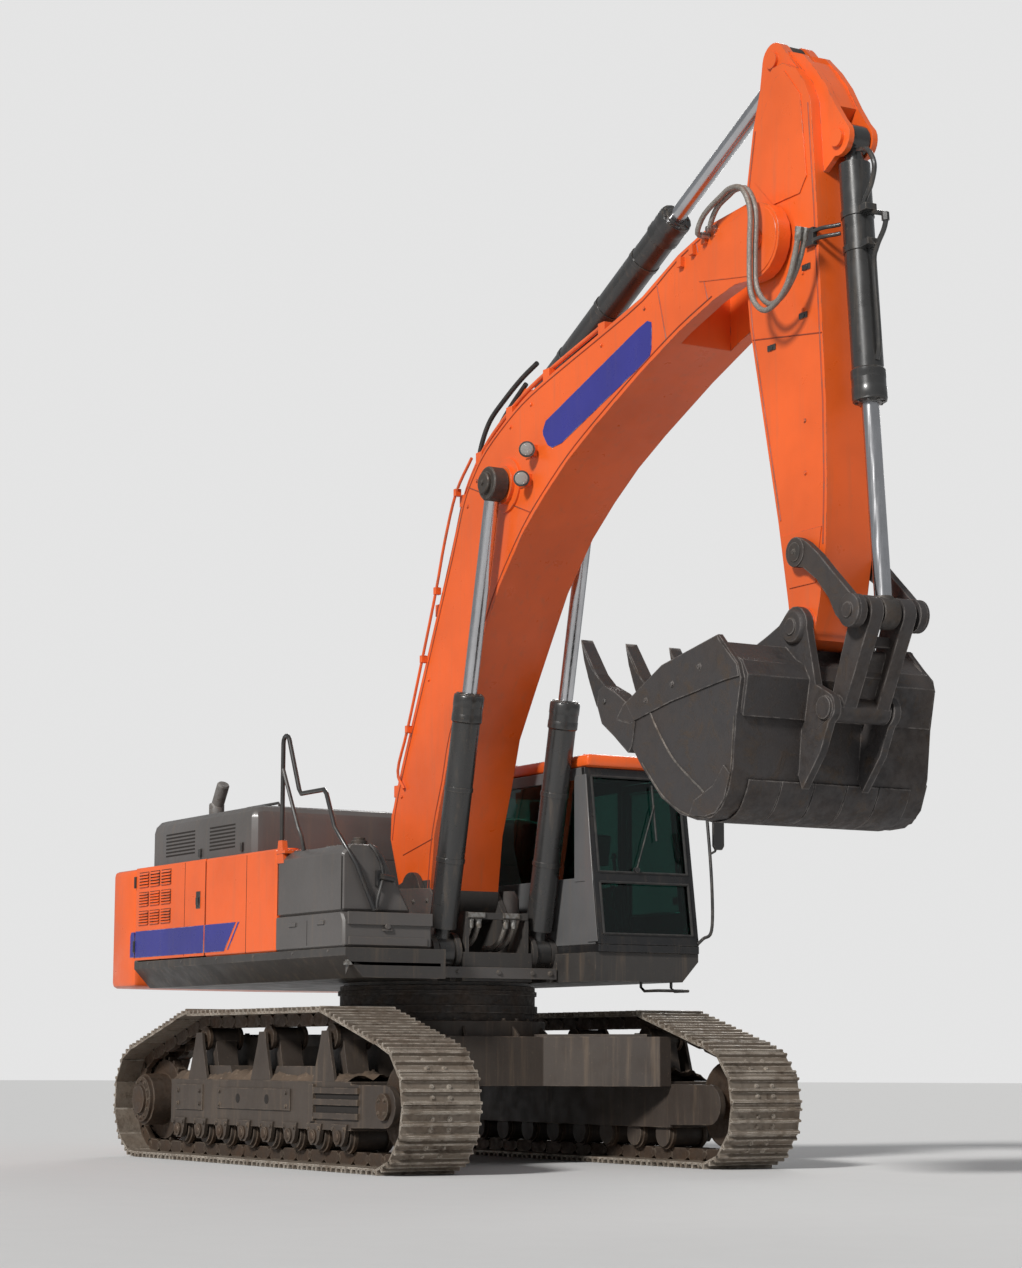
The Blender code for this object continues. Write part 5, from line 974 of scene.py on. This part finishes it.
# ---- boom ------------------------------------------------------------------------------
def build_boom_skin():
    welds, label, bosses, brackets = Shell(), Shell(), Shell(), Shell()
    for side in (-1, 1):
        y = side * HALF_BOOM
        for line in (BOOM_BACK, BOOM_BELLY):
            edge = beside(smooth(line, 3), -0.035 if line is BOOM_BACK else 0.035)
            welds.tube([(x, y, z) for x, z in edge], 0.006, 6)
        for low, high in (((-0.02, 2.42), (0.47, 2.52)), ((1.02, 5.24), (1.98, 4.88)),
                          ((3.84, 5.81), (3.72, 6.24)),
                          ((4.36, 5.97), (4.22, 6.42))):
            welds.tube([(low[0], y, low[1]), (high[0], y, high[1])], 0.005, 6)
        bosses.pin(BOOM_CYLINDER_HEAD, side * 0.300, side * 0.328, 0.21, 40)
        nose = [(4.36, 6.40), (4.20, 6.30), (4.26, 6.12), (4.60, 6.06), *arc(ARM_PIVOT, 0.235, -95, 75, 12),
                (4.86, 6.49)]
        bosses.plate(nose, *proud(y, side, 0.007, 0.002))
        bosses.pin(ARM_PIVOT, y, y + side * 0.020, 0.075, 32)
    shape = [(2.154, 5.475), (2.160, 5.440), (2.227, 5.353), (2.290, 5.320), (2.429, 5.330), (3.560, 5.700),
             (3.623, 5.720), (3.650, 5.780), (3.657, 5.923), (3.650, 5.975), (3.600, 5.996), (3.474, 5.964),
             (2.197, 5.543)]
    label.plate(shape, -HALF_BOOM - 0.004, -HALF_BOOM + 0.001)
    label.plate(shape, HALF_BOOM - 0.001, HALF_BOOM + 0.004)
    for i in range(9):
        share = 0.06 + i * 0.115
        line = beside(BOOM_BACK, -0.10)
        place = line[min(len(line) - 1, round(share * (len(line) - 1)))]
        brackets.bolt((place[0], -HALF_BOOM, place[1]), (0, -1, 0), 0.012, 0.012)
    for x, z in ((4.05, 6.31), (4.20, 6.36), (4.35, 6.40)):
        brackets.block((x - 0.025, x + 0.025), (-0.345, -0.309), (z - 0.035, z + 0.035))
    # Painted shade: the lower half of the boom foot, whose own paint is orange, is given dark deck grey to stand
    # in for the shadow under the boom.
    heel = Shell()
    heel.plate([(-0.052, 2.16), *arc(BOOM_FOOT, 0.2425, 171, 369, 20), (0.432, 2.20), (0.20, 2.20)],
               -HALF_BOOM - 0.002, HALF_BOOM + 0.002)
    heel.finish("boom_heel_painted_shade", "deck_enamel", "boom", "orange", 0.003)
    welds.finish("boom_weld_beads", "seam_orange", "boom", "orange")
    label.finish("boom_label", "label_blue", "boom", "orange", 0.001)
    bosses.finish("boom_boss_plates", "orange_enamel", "boom", "orange", 0.005)
    brackets.finish("boom_brackets", "orange_enamel", "boom", "orange", 0.003)


def build_boom_pipes():
    pipes, clamps, black, lamps, lens = Shell(), Shell(), Shell(), Shell(), Shell()
    back = smooth(BOOM_BACK, 4)
    for k, (y, gap) in enumerate(((-0.25, 0.085), (-0.19, 0.060), (0.20, 0.060), (0.26, 0.060))):
        line = beside(back, gap)[3:-12 + k]
        pipes.tube([(x, y, z) for x, z in line], 0.017, 10)
    for i in range(4, len(back) - 8, 6):
        here = beside(back, 0.035)[i]
        for y in (-0.22, 0.23):
            clamps.block((here[0] - 0.045, here[0] + 0.045), (y - 0.075, y + 0.075),
                         (here[1] - 0.045, here[1] + 0.050))
    loop = [(0.02, -0.33, 2.95), (-0.06, -0.345, 3.10), (0.10, -0.345, 3.42), (0.34, -0.345, 3.96),
            (0.56, -0.345, 4.48), (0.70, -0.345, 4.86), (0.88, -0.345, 5.22), (1.10, -0.33, 5.46)]
    pipes.tube(smooth(loop, 4), 0.012, 8)
    for x, z in ((0.10, 3.42), (0.34, 3.96), (0.56, 4.48), (0.88, 5.22)):
        clamps.block((x - 0.02, x + 0.02), (-0.36, -0.308), (z - 0.03, z + 0.03))
    for feed in ([(1.02, -0.23, 5.40), (1.06, -0.22, 5.58), (1.16, -0.20, 5.76), (1.34, -0.17, 5.90),
                  (1.56, -0.15, 6.02), (1.78, -0.14, 6.10)],
                 [(1.10, -0.16, 5.44), (1.18, -0.15, 5.66), (1.36, -0.13, 5.84), (1.58, -0.12, 5.98)]):
        black.tube(smooth(feed, 5), 0.020, 10)
    gaze = Vector((0.80, -0.58, -0.05)).normalized()
    for x, z in ((1.97, 5.13), (2.05, 5.34)):
        middle = Vector((x, -0.385, z))
        clamps.block((x - 0.025, x + 0.025), (-0.35, -0.309), (z - 0.045, z + 0.045))
        clamps.block((x - 0.07, x + 0.01), (-0.36, -0.345), (z - 0.062, z - 0.050))
        lamps.round(middle - gaze * 0.045, middle + gaze * 0.030, 0.058, 28,
                    [(0, 0.030), (0.35, 0.054), (0.8, 0.058), (1, 0.058)])
        lamps.round(middle + gaze * 0.026, middle + gaze * 0.040, 0.062, 28)
        lens.round(middle + gaze * 0.036, middle + gaze * 0.052, 0.052, 28,
                   [(0, 0.052), (0.6, 0.048), (1, 0.034)])
    pipes.finish("boom_pipes", "orange_enamel", "boom", "orange")
    clamps.finish("pipe_clamps", "orange_enamel", "boom", "orange", 0.004)
    black.finish("arm_cylinder_feed_hoses", "black_rubber", "boom", "rail_black")
    lamps.finish("work_lamp_shells", "rail_enamel", "boom", "rail_black", 0.002)
    lens.finish("work_lamp_lenses", "lamp_lens", "boom", "tinted_glass", 0.002)


# ---- cylinders -----------------------------------------------------------------------
# Foot, head, y, barrel length, barrel radius, rod radius, eye radius, bodies, and the rod's length inside.
CYLINDERS = {
    "boom_cylinder_right": (BOOM_CYLINDER_FOOT, BOOM_CYLINDER_HEAD, -CYLINDER_Y, 2.00, 0.108, 0.057, 0.13,
                            "boom_barrel_right", "boom_rod_right", 0.35),
    "boom_cylinder_left": (BOOM_CYLINDER_FOOT, BOOM_CYLINDER_HEAD, CYLINDER_Y, 2.00, 0.108, 0.057, 0.13,
                           "boom_barrel_left", "boom_rod_left", 0.35),
    "arm_cylinder": (ARM_CYLINDER_FOOT, ARM_CYLINDER_HEAD, 0.0, 2.20, 0.115, 0.060, 0.115, "arm_barrel",
                     "arm_rod", 0.50),
    "bucket_cylinder": (BUCKET_CYLINDER_FOOT, LEVER_END, 0.0, 1.80, 0.105, 0.057, 0.105, "bucket_barrel",
                        "bucket_rod", 0.35),
}


def build_cylinders():
    for name, (foot, head, y, length, radius, rod, eye, barrel_body, rod_body, inside) in CYLINDERS.items():
        full = math.dist(foot, head)
        way = Vector(((head[0] - foot[0]) / full, (head[1] - foot[1]) / full))
        out = Vector((way.y, -way.x))

        def on(distance, lift=0.0, side=0.0):
            place = Vector(foot) + way * distance + out * lift
            return (place.x, y + side, place.y)
        collar, shaft, fork, lines = Shell(), Shell(), Shell(), Shell()
        skin = radius * 0.985
        collar.sleeve(on(length - 0.22), on(length - 0.01), skin,
                      [(0, radius * 1.02), (0.05, radius * 1.095), (0.30, radius * 1.095),
                       (0.34, radius * 1.05), (0.55, radius * 1.05), (0.60, radius * 1.10),
                       (0.95, radius * 1.10), (1, radius * 1.05)])
        collar.sleeve(on(length - 0.012), on(length + 0.010), rod + 0.001,
                      [(0, radius * 0.99), (0.6, radius * 0.97), (0.6, rod * 1.42), (1, rod * 1.36)])
        for a in range(0, 360, 45):
            turn = math.radians(a)
            place = Vector(on(length - 0.008, radius * 0.86 * math.cos(turn), radius * 0.86 * math.sin(turn)))
            collar.bolt(place, (way.x, 0, way.y), 0.012, 0.016)
        if name.startswith("boom"):
            side = -1 if y < 0 else 1
            lines.tube([on(0.36, -radius, side * 0.02), on(0.40, -radius - 0.030, side * 0.02),
                        on(length - 0.40, -radius - 0.030, side * 0.02),
                        on(length - 0.30, -radius, side * 0.02)], 0.012, 8)
            for d in (0.7, 1.25):
                collar.sleeve(on(d), on(d + 0.035), skin, [(0, radius * 1.045), (1, radius * 1.045)])
        elif name.startswith("arm"):
            lines.tube(smooth([on(0.30, -radius, 0.03), on(0.42, -radius - 0.045, 0.03),
                               on(length - 0.45, -radius - 0.045, 0.03),
                               on(length - 0.30, -radius - 0.002, 0.03)], 4), 0.015, 8)
            for d in (0.55, 1.15, 1.70):
                collar.sleeve(on(d), on(d + 0.04), skin, [(0, radius * 1.05), (1, radius * 1.05)])
                lines.round(on(d, -radius - 0.045, 0.03), on(d + 0.04, -radius - 0.045, 0.03), 0.024, 10)
        else:
            lines.tube(smooth([on(0.10, -0.09, -0.03), on(0.14, -0.19, -0.03), on(0.26, -0.245, -0.03),
                               on(0.38, -0.200, -0.03),
                               on(0.46, -0.125, -0.03), on(0.52, -0.105, -0.03)], 6), 0.017, 10)
            lines.tube(smooth([on(0.54, -0.10, 0.0), on(0.57, -0.20, 0.0), on(0.62, -0.285, 0.0),
                               on(0.70, -0.265, 0.0),
                               on(0.80, -0.175, 0.0), on(0.92, -0.135, 0.0), on(1.42, -0.135, 0.0),
                               on(1.54, -0.10, 0.0)], 6), 0.017, 10)
            lines.round(on(0.60, -0.285), on(0.655, -0.285), 0.026, 6)
            for d in (0.50, 0.74):
                collar.sleeve(on(d), on(d + 0.045), skin, [(0, radius * 1.06), (1, radius * 1.06)])
                bracket = [on(d, -radius), on(d + 0.045, -radius), on(d + 0.045, -radius - 0.075),
                           on(d, -radius - 0.075)]
                collar.plate([place[::2] for place in bracket], y - 0.07, y + 0.02)
        shaft.round(on(length - inside), on(full - eye * 0.72), rod, 40)
        width = 0.065
        centre = Vector(on(full))
        fork.round(centre - Vector((0, width, 0)), centre + Vector((0, width, 0)), eye, 40,
                   [(0, eye * 0.94), (0.08, eye), (0.92, eye), (1, eye * 0.94)])
        fork.round(on(full - eye * 1.02), on(full - eye * 0.55), rod * 1.25, 32,
                   [(0, rod * 1.02), (0.10, rod * 1.15), (1, rod * 1.45)])
        if name.startswith("boom"):
            side = -1 if y < 0 else 1
            cap = centre + Vector((0, side * width, 0))
            fork.round(cap - Vector((0, side * 0.008, 0)), cap + Vector((0, side * 0.034, 0)), 0.084, 32,
                       [(0, 0.084), (0.8, 0.084), (1, 0.076)])
            fork.bolt(cap + Vector((0, side * 0.034, 0)), (0, side, 0), 0.017, 0.012)
        made = shaft.finish(name + "_polished_rod", "polished_rod", rod_body, "rod_chrome")
        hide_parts(name + "_rod")
        fork.finish(name + "_rod_eye", "bare_casting", rod_body, "ring_steel", 0.002)
        collar.finish(name + "_collars", "barrel_enamel", barrel_body, "cylinder_black", 0.002)
        lines.finish(name + "_pipes", "barrel_enamel", barrel_body, "cylinder_black")


# ---- arm and linkage ---------------------------------------------------------------------
def build_arm_skin():
    welds, plates, caps, pipes = Shell(), Shell(), Shell(), Shell()
    front = [(5.41, 7.10), (5.46, 6.39), (5.53, 5.03), (5.53, 4.50), (5.51, 4.10)]
    rear = [(4.745, 7.08), (4.67, 6.72), (4.66, 6.40), (4.655, 6.0), (4.69, 5.70), (4.84, 5.01), (4.99, 4.32)]
    for side in (-1, 1):
        y = side * HALF_ARM
        welds.tube([(x, y, z) for x, z in beside(front, -0.03)], 0.006, 6)
        welds.tube([(x, y, z) for x, z in beside(rear, 0.03)], 0.006, 6)
        welds.tube([(4.72, y, 5.62), (5.50, y, 5.50)], 0.005, 6)
        plates.plate([(4.80, 7.06), (5.02, 7.38), (5.12, 7.40), (5.30, 7.18), (5.36, 6.60), (5.28, 6.50),
                      (4.98, 6.50), (4.76, 6.72)],
                     *proud(y, side, 0.008))
        plates.plate([(5.02, 4.22), (5.47, 4.22), (5.40, 3.86), (5.11, 3.86)], *proud(y, side, 0.008))
        caps.pin(LEVER_PIVOT, side * 0.264, side * 0.280, 0.064, 28)
        caps.bolt((LEVER_PIVOT[0], side * 0.280, LEVER_PIVOT[1]), (0, side, 0), 0.015, 0.012)
    pipes.block((5.36, 5.46), (-0.225, -0.188), (6.10, 6.22))
    for z in (6.13, 6.19):
        pipes.tube(smooth([(5.44, -0.215, z), (5.53, -0.20, z + 0.005), (5.60, -0.15, z + 0.01),
                           (5.63, -0.125, z + 0.015)], 4), 0.015, 8)
    for z in (5.95, 5.70, 4.95, 4.60):
        plates.bolt((5.30, -0.19, z), (0, -1, 0), 0.012, 0.010)
    for x, z in ((4.94, 5.52), (5.34, 5.98), (5.30, 5.66)):
        pipes.pin((x, z), -0.19, -0.202, 0.020, 14)
        pipes.block((x - 0.045, x + 0.045), (-0.198, -0.189), (z - 0.020, z + 0.020))
    welds.finish("arm_weld_beads", "seam_orange", "arm", "orange")
    plates.finish("arm_side_plates", "orange_enamel", "arm", "orange", 0.004)
    caps.finish("arm_pin_caps", "bare_casting", "arm", "ring_steel", 0.003)
    pipes.finish("arm_pipe_block", "barrel_enamel", "arm", "cylinder_black", 0.002)


def build_linkage():
    levers, link = Shell(), Shell()
    for side in (-1, 1):
        outer = side * EAR_OUTSIDE
        levers.pin(LEVER_END, outer - side * 0.01, outer + side * 0.022, 0.108, 32,
                     [(0, 0.108), (0.8, 0.108), (1, 0.098)])
        levers.pin(LEVER_END, outer + side * 0.020, outer + side * 0.034, 0.050, 24)
        levers.pin(LEVER_PIVOT, outer - side * 0.01, outer + side * 0.008, 0.098, 32)
    levers.finish("lever_bosses", "bucket_plate", "tilt_levers", "bucket_grey", 0.003)
    for share in (0.30, 0.62):
        place = between(LEVER_END, (5.58, 3.02), share)
        link.block((place[0] - 0.03, place[0] + 0.03), (-0.10, 0.10), (place[1] - 0.035, place[1] + 0.035))
    link.finish("link_bridges", "bucket_plate", "link", "bucket_grey", 0.006)


# ---- bucket ----------------------------------------------------------------------------
def build_bucket():
    wear, beads, teeth, cutters = Shell(), Shell(), Shell(), Shell()
    heel = smooth([(4.22, 2.74), (4.46, 2.51), (4.68, 2.385), (4.88, 2.33), (5.04, 2.335), (5.16, 2.39),
                   (5.24, 2.50), (5.29, 2.64), (5.31, 2.80), (5.33, 2.96)], 4)
    low_heel = smooth([(4.46, 2.51), (4.68, 2.385), (4.88, 2.33), (5.04, 2.335), (5.16, 2.39), (5.24, 2.50),
                       (5.27, 2.57)], 4)
    section = [tuple(p) for p in low_heel] + beside(low_heel, -0.010)[::-1]
    for y in (-0.52, -0.26, 0.0, 0.26, 0.52):
        wear.plate(section, y - 0.128, y + 0.128)
    for side in (-1, 1):
        y = side * 0.78
        liner = smooth([(4.30, 3.15), (4.40, 2.99), (4.60, 2.76), (4.817, 2.60), (4.96, 2.50), (5.02, 2.37)],
                       5)
        beads.tube([(x, y, z) for x, z in liner], 0.009, 6)
        edge = beside(heel, 0.020)
        beads.tube([(x, y, z) for x, z in edge], 0.007, 6)
        cutter = [(4.02, 3.17), (3.93, 3.08), (4.10, 3.04), (4.60, 3.13), (5.20, 3.20), (5.375, 3.21),
                  (5.355, 3.29), (5.16, 3.47), (5.14, 3.505), (4.49, 3.385)]
        cutters.plate(cutter, *proud(y, side, 0.012))
        corner = [(4.80, 2.365), (4.98, 2.345), (5.10, 2.36), (5.20, 2.44), (5.27, 2.60), (5.20, 2.66),
                  (5.08, 2.54), (4.86, 2.46)]
        cutters.plate(corner, *proud(y, side, 0.012))
        for x, z in ((4.30, 3.17), (4.62, 3.24), (4.94, 3.32)):
            cutters.bolt((x, y + side * 0.012, z), (0, side, 0), 0.016, 0.014)
    for y in TOOTH_PLACES:
        low, high = y - 0.055, y + 0.055
        adapter = [(4.16, 3.04), (4.04, 3.19), (3.92, 3.265), (3.76, 3.335), (3.70, 3.30), (3.68, 3.20),
                   (3.74, 3.07), (3.90, 2.965), (4.07, 2.84), (4.12, 2.88)]
        cutters.plate(adapter, low - 0.004, high + 0.004)
        blade = [(3.455, 3.690), (3.50, 3.53), (3.575, 3.36), (3.66, 3.20), (3.74, 3.13), (3.84, 3.15),
                 (3.82, 3.29), (3.72, 3.37), (3.60, 3.47), (3.51, 3.60)]
        teeth.plate(blade, low + 0.002, high - 0.002)
        for side in (-1, 1):
            teeth.pin((3.78, 3.22), y + side * 0.052, y + side * 0.070, 0.020, 14)
    wear.finish("heel_wear_strips", "bucket_plate", "bucket", "bucket_grey", 0.004)
    beads.finish("bucket_weld_beads", "bare_casting", "bucket", "bucket_grey")
    cutters.finish("side_cutters_and_adapters", "bucket_plate", "bucket", "bucket_grey", 0.005)
    teeth.finish("tooth_tips", "tooth_steel", "bucket", "bucket_grey", 0.006)
    lugs = Shell()
    for side in (-1, 1):
        y = side * EAR_OUTSIDE
        lugs.pin(BUCKET_PIVOT, y - side * 0.005, y + side * 0.030, 0.110, 32,
                 [(0, 0.12), (0.6, 0.115), (1, 0.10)])
        lugs.pin(BUCKET_PIVOT, y + side * 0.030, y + side * 0.042, 0.055, 24)
    lugs.finish("bucket_ear_bosses", "bucket_plate", "bucket", "bucket_grey", 0.003)


# ---- hoses -------------------------------------------------------------------------------
def hose(name, route, steps, bodies, bend=None):
    """A free hose along its route: its own length, and fittings at both ends."""
    line = smooth(route, steps)
    skin = Shell()
    skin.tube([tuple(p) for p in line], HOSE_RADIUS, 12)
    piece = skin.finish(name + "_braid", "braided_hose", None if bend else bodies[0], "hose", round_over=80)
    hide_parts(name)
    if bend:
        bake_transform(piece)
    ends = ((line[0], line[1] - line[0], bodies[0]), (line[-1], line[-2] - line[-1], bodies[-1]))
    for word, (place, way, body) in zip(("start", "end"), ends):
        way = way.normalized()
        cuff = Shell()
        cuff.round(tuple(place - way * 0.012), tuple(place + way * 0.070), 0.026, 20,
                   [(0, 0.022), (0.1, 0.0245), (0.8, 0.0245), (1, 0.021)])
        cuff.round(tuple(place - way * 0.020), tuple(place + way * 0.014), 0.029, 6)
        cuff.finish(f"{name}_fitting_{word}", "zinc_steel", body, "rod_chrome", 0.001)


def build_hoses():
    for index, y in enumerate(BOOM_HOSE_Y, start=1):
        route = [(0.63, y, 1.66), (0.73, y, 1.665), (0.85, y, 1.72), (0.92, y, 1.81), (0.93, y, 1.8447),
                 (0.93, y, 1.8747)]
        hose(f"boom_hose_{index}", route, 5, ["upperstructure"])
    for index, out in enumerate((0.367, 0.415), start=1):
        drop = 0.05 * (index - 1)
        x, z = 4.54 - 0.08 * index, 6.48 - 0.03 * index
        route = [(x, -0.3103, z), (x, -out + 0.01, z + 0.002), (x + 0.10, -out, z + 0.11), (4.70, -out, 6.61),
                 (4.80, -out, 6.63), (4.93, -out, 6.59), (5.02, -out, 6.42), (5.01, -out, 6.15),
                 (5.02, -out, 5.90 - drop), (5.15, -out, 5.75 - drop), (5.30, -out, 5.76 - drop),
                 (5.44, -out, 5.87 - drop), (5.53, -out, 6.01), (5.57, -out, 6.14)]
        hose(f"arm_hose_{index}", route, 4, ["boom", "arm"], ((4.98, -out, 6.45), (5.30, -out, 5.80)))


# ---- studio ------------------------------------------------------------------------------
def build_stage():
    settings = bpy.context.scene.excavator_studio
    lens = bpy.data.cameras.new("Camera")
    camera = bpy.data.objects.new("Camera", lens)
    bpy.context.scene.collection.objects.link(camera)
    right, up = Vector((0.503740, 0.863850, 0.002999)), Vector((0.127638, -0.077862, 0.988760))
    back = Vector((0.854374, -0.497695, -0.149483))
    turn = Matrix((right, up, back)).transposed().to_4x4()
    camera.matrix_world = Matrix.Translation(at(19.962217, -10.956865, 0.794402)) @ turn
    lens.sensor_fit, lens.sensor_height, lens.lens = "VERTICAL", 36.0, settings.lens
    lens.dof.use_dof = False
    lens.clip_end = 500
    bpy.context.scene.camera = camera

    floor_mesh = bpy.data.meshes.new("studio_floor")
    bm = bmesh.new()
    bmesh.ops.create_circle(bm, cap_ends=True, segments=64, radius=90)
    bm.to_mesh(floor_mesh)
    bm.free()
    floor = bpy.data.objects.new("studio_floor", floor_mesh)
    floor.location = (0, 0, -0.002)
    bpy.context.scene.collection.objects.link(floor)
    paper = Paintwork("studio_paper", 0.9)
    grain = paper.noise(3.0, 3)
    floor_mesh.materials.append(paper.set(paper.blend(grain, (0.60, 0.60, 0.60), (0.63, 0.63, 0.63)), None,
                                          grain, 0.01, 0.001))

    world = bpy.data.worlds.new("studio")
    bpy.context.scene.world = world
    world.use_nodes = True
    tree = world.node_tree
    sky = tree.nodes["Background"]
    sky.inputs["Color"].default_value = (0.95, 0.975, 1.0, 1.0)
    sky.inputs["Strength"].default_value = settings.sky
    backdrop = tree.nodes.new("ShaderNodeBackground")
    backdrop.inputs["Color"].default_value = (1.0, 1.0, 1.0, 1.0)
    backdrop.inputs["Strength"].default_value = settings.backdrop
    seen, pick = tree.nodes.new("ShaderNodeLightPath"), tree.nodes.new("ShaderNodeMixShader")
    tree.links.new(seen.outputs["Is Camera Ray"], pick.inputs[0])
    tree.links.new(sky.outputs[0], pick.inputs[1])
    tree.links.new(backdrop.outputs[0], pick.inputs[2])
    tree.links.new(pick.outputs[0], tree.nodes["World Output"].inputs[0])
    bpy.context.scene.view_settings.view_transform = "Standard"
    for name, place, strength, spread in (("key", (9, -17, 15), settings.key, 9),
                                          ("rim", (-14, 12, 10), settings.key * 0.16, 20)):
        light = bpy.data.lights.new(name, "SUN")
        light.energy, light.angle = strength, math.radians(spread)
        light.color = (1.0, 0.985, 0.96)
        lamp = bpy.data.objects.new(name, light)
        bpy.context.scene.collection.objects.link(lamp)
        lamp.location = at(*place)
        aim = at(1.0, 0, 2.5) - lamp.location
        lamp.rotation_euler = aim.to_track_quat("-Z", "Y").to_euler()


# ---- settings, operators and panel ---------------------------------------------------------
class ExcavatorColors(bpy.types.PropertyGroup):
    orange: bpy.props.FloatVectorProperty(name="Orange paint",
                                          description="Colour of boom, arm and side panels",
                                          default=(0.84, 0.125, 0.018), size=3, subtype="COLOR", min=0, max=1)
    house_grey: bpy.props.FloatVectorProperty(name="House grey", description="Colour of hood, tank and deck",
                                              default=(0.098, 0.090, 0.086), size=3, subtype="COLOR", min=0,
                                              max=1)
    label_blue: bpy.props.FloatVectorProperty(name="Label blue",
                                              description="Colour of the blank name plates",
                                              default=(0.030, 0.030, 0.25), size=3, subtype="COLOR", min=0,
                                              max=1)


class ExcavatorStudio(bpy.types.PropertyGroup):
    lens: bpy.props.FloatProperty(name="Lens", description="Focal length of the camera", default=80.13,
                                  unit="CAMERA")
    key: bpy.props.FloatProperty(name="Key light", description="Strength of the main light", default=3.3,
                                 min=0)
    sky: bpy.props.FloatProperty(name="Sky", description="Strength of the light from all around",
                                 default=0.30, min=0)
    backdrop: bpy.props.FloatProperty(name="Backdrop",
                                      description="Brightness of the paper behind the machine", default=0.78,
                                      min=0)


def operator(name, label, note, work):
    """One operator that builds one piece or group of like pieces."""
    def execute(self, context):
        work()
        return {"FINISHED"}
    word = "EXCAVATOR_OT_" + name
    return type(word, (bpy.types.Operator,), {"bl_idname": "excavator." + name, "bl_label": label,
                                              "__doc__": note,
                                              "bl_options": {"REGISTER"}, "execute": execute})


STEPS = [operator(*row) for row in (
    ("stage", "Stage", "Camera, floor and studio light", build_stage),
    ("finishes", "Finishes", "Every paint, steel, glass and cloth", make_finishes),
    ("hoses", "Hoses", "Free hoses at the boom foot and the arm pivot", build_hoses),
    ("carried_over", "Frame solids", "Finishes on the solids that stay", finish_cad_nodes),
    ("tracks", "Tracks", "Grouser shoes and chains", build_tracks),
    ("running_gear", "Running gear", "Rollers, hubs and guards", build_running_gear),
    ("soil", "Caked soil", "Soil on top of the side frames", build_soil),
    ("lower_frame", "Lower frame", "Slewing ring bands and ribs", build_lower_frame),
    ("service_doors", "Service doors", "Louvres, labels and latches", build_service_doors),
    ("house_sides", "House sides", "Seams, rub strip and blank plate", build_house_sides),
    ("counterweight", "Counterweight", "Grooves, lifting eyes and reflectors", build_counterweight),
    ("engine_hood", "Engine hood", "Lid, vents, grips and exhaust", build_engine_hood),
    ("tank_and_steps", "Tank and steps", "Treads, filler cap and tool box fittings", build_tank_and_steps),
    ("frame_fittings", "Upper frame", "Pin caps, plates and hose fittings", build_frame_fittings),
    ("cab_outside", "Cab outside", "Seals, wiper, bars and lamps", build_cab_outside),
    ("cab_inside", "Cab inside", "Seat and controls", build_cab_inside),
    ("boom_skin", "Boom", "Weld beads, label and bosses", build_boom_skin),
    ("boom_pipes", "Boom pipes", "Pipes, clamps and work lamps", build_boom_pipes),
    ("cylinders", "Cylinders", "Glands, rods, eyes and pipes", build_cylinders),
    ("arm_skin", "Arm", "Plates, weld beads and pipe block", build_arm_skin),
    ("linkage", "Linkage", "Lever bosses and link bridges", build_linkage),
    ("bucket", "Bucket", "Wear strips, cutters and teeth", build_bucket),
)]


class EXCAVATOR_PT_panel(bpy.types.Panel):
    """Lists the building steps and their settings."""
    bl_idname = "EXCAVATOR_PT_panel"
    bl_label = "Excavator"
    bl_space_type = "VIEW_3D"
    bl_region_type = "UI"
    bl_category = "Excavator"

    def draw(self, context):
        layout = self.layout
        for group in (context.scene.excavator_colors, context.scene.excavator_studio):
            for key in group.__annotations__:
                layout.prop(group, key)
        for step in STEPS:
            layout.operator(step.bl_idname)


CLASSES = [ExcavatorColors, ExcavatorStudio, *STEPS, EXCAVATOR_PT_panel]


def register():
    for item in CLASSES:
        bpy.utils.register_class(item)
    bpy.types.Scene.excavator_colors = bpy.props.PointerProperty(type=ExcavatorColors)
    bpy.types.Scene.excavator_studio = bpy.props.PointerProperty(type=ExcavatorStudio)


def unregister():
    del bpy.types.Scene.excavator_studio
    del bpy.types.Scene.excavator_colors
    for item in reversed(CLASSES):
        bpy.utils.unregister_class(item)


def main():
    register()
    for step in STEPS:
        name = step.bl_idname.split(".")[1]
        getattr(bpy.ops.excavator, name)()
    bpy.context.view_layer.update()


if __name__ == "__main__":
    main()
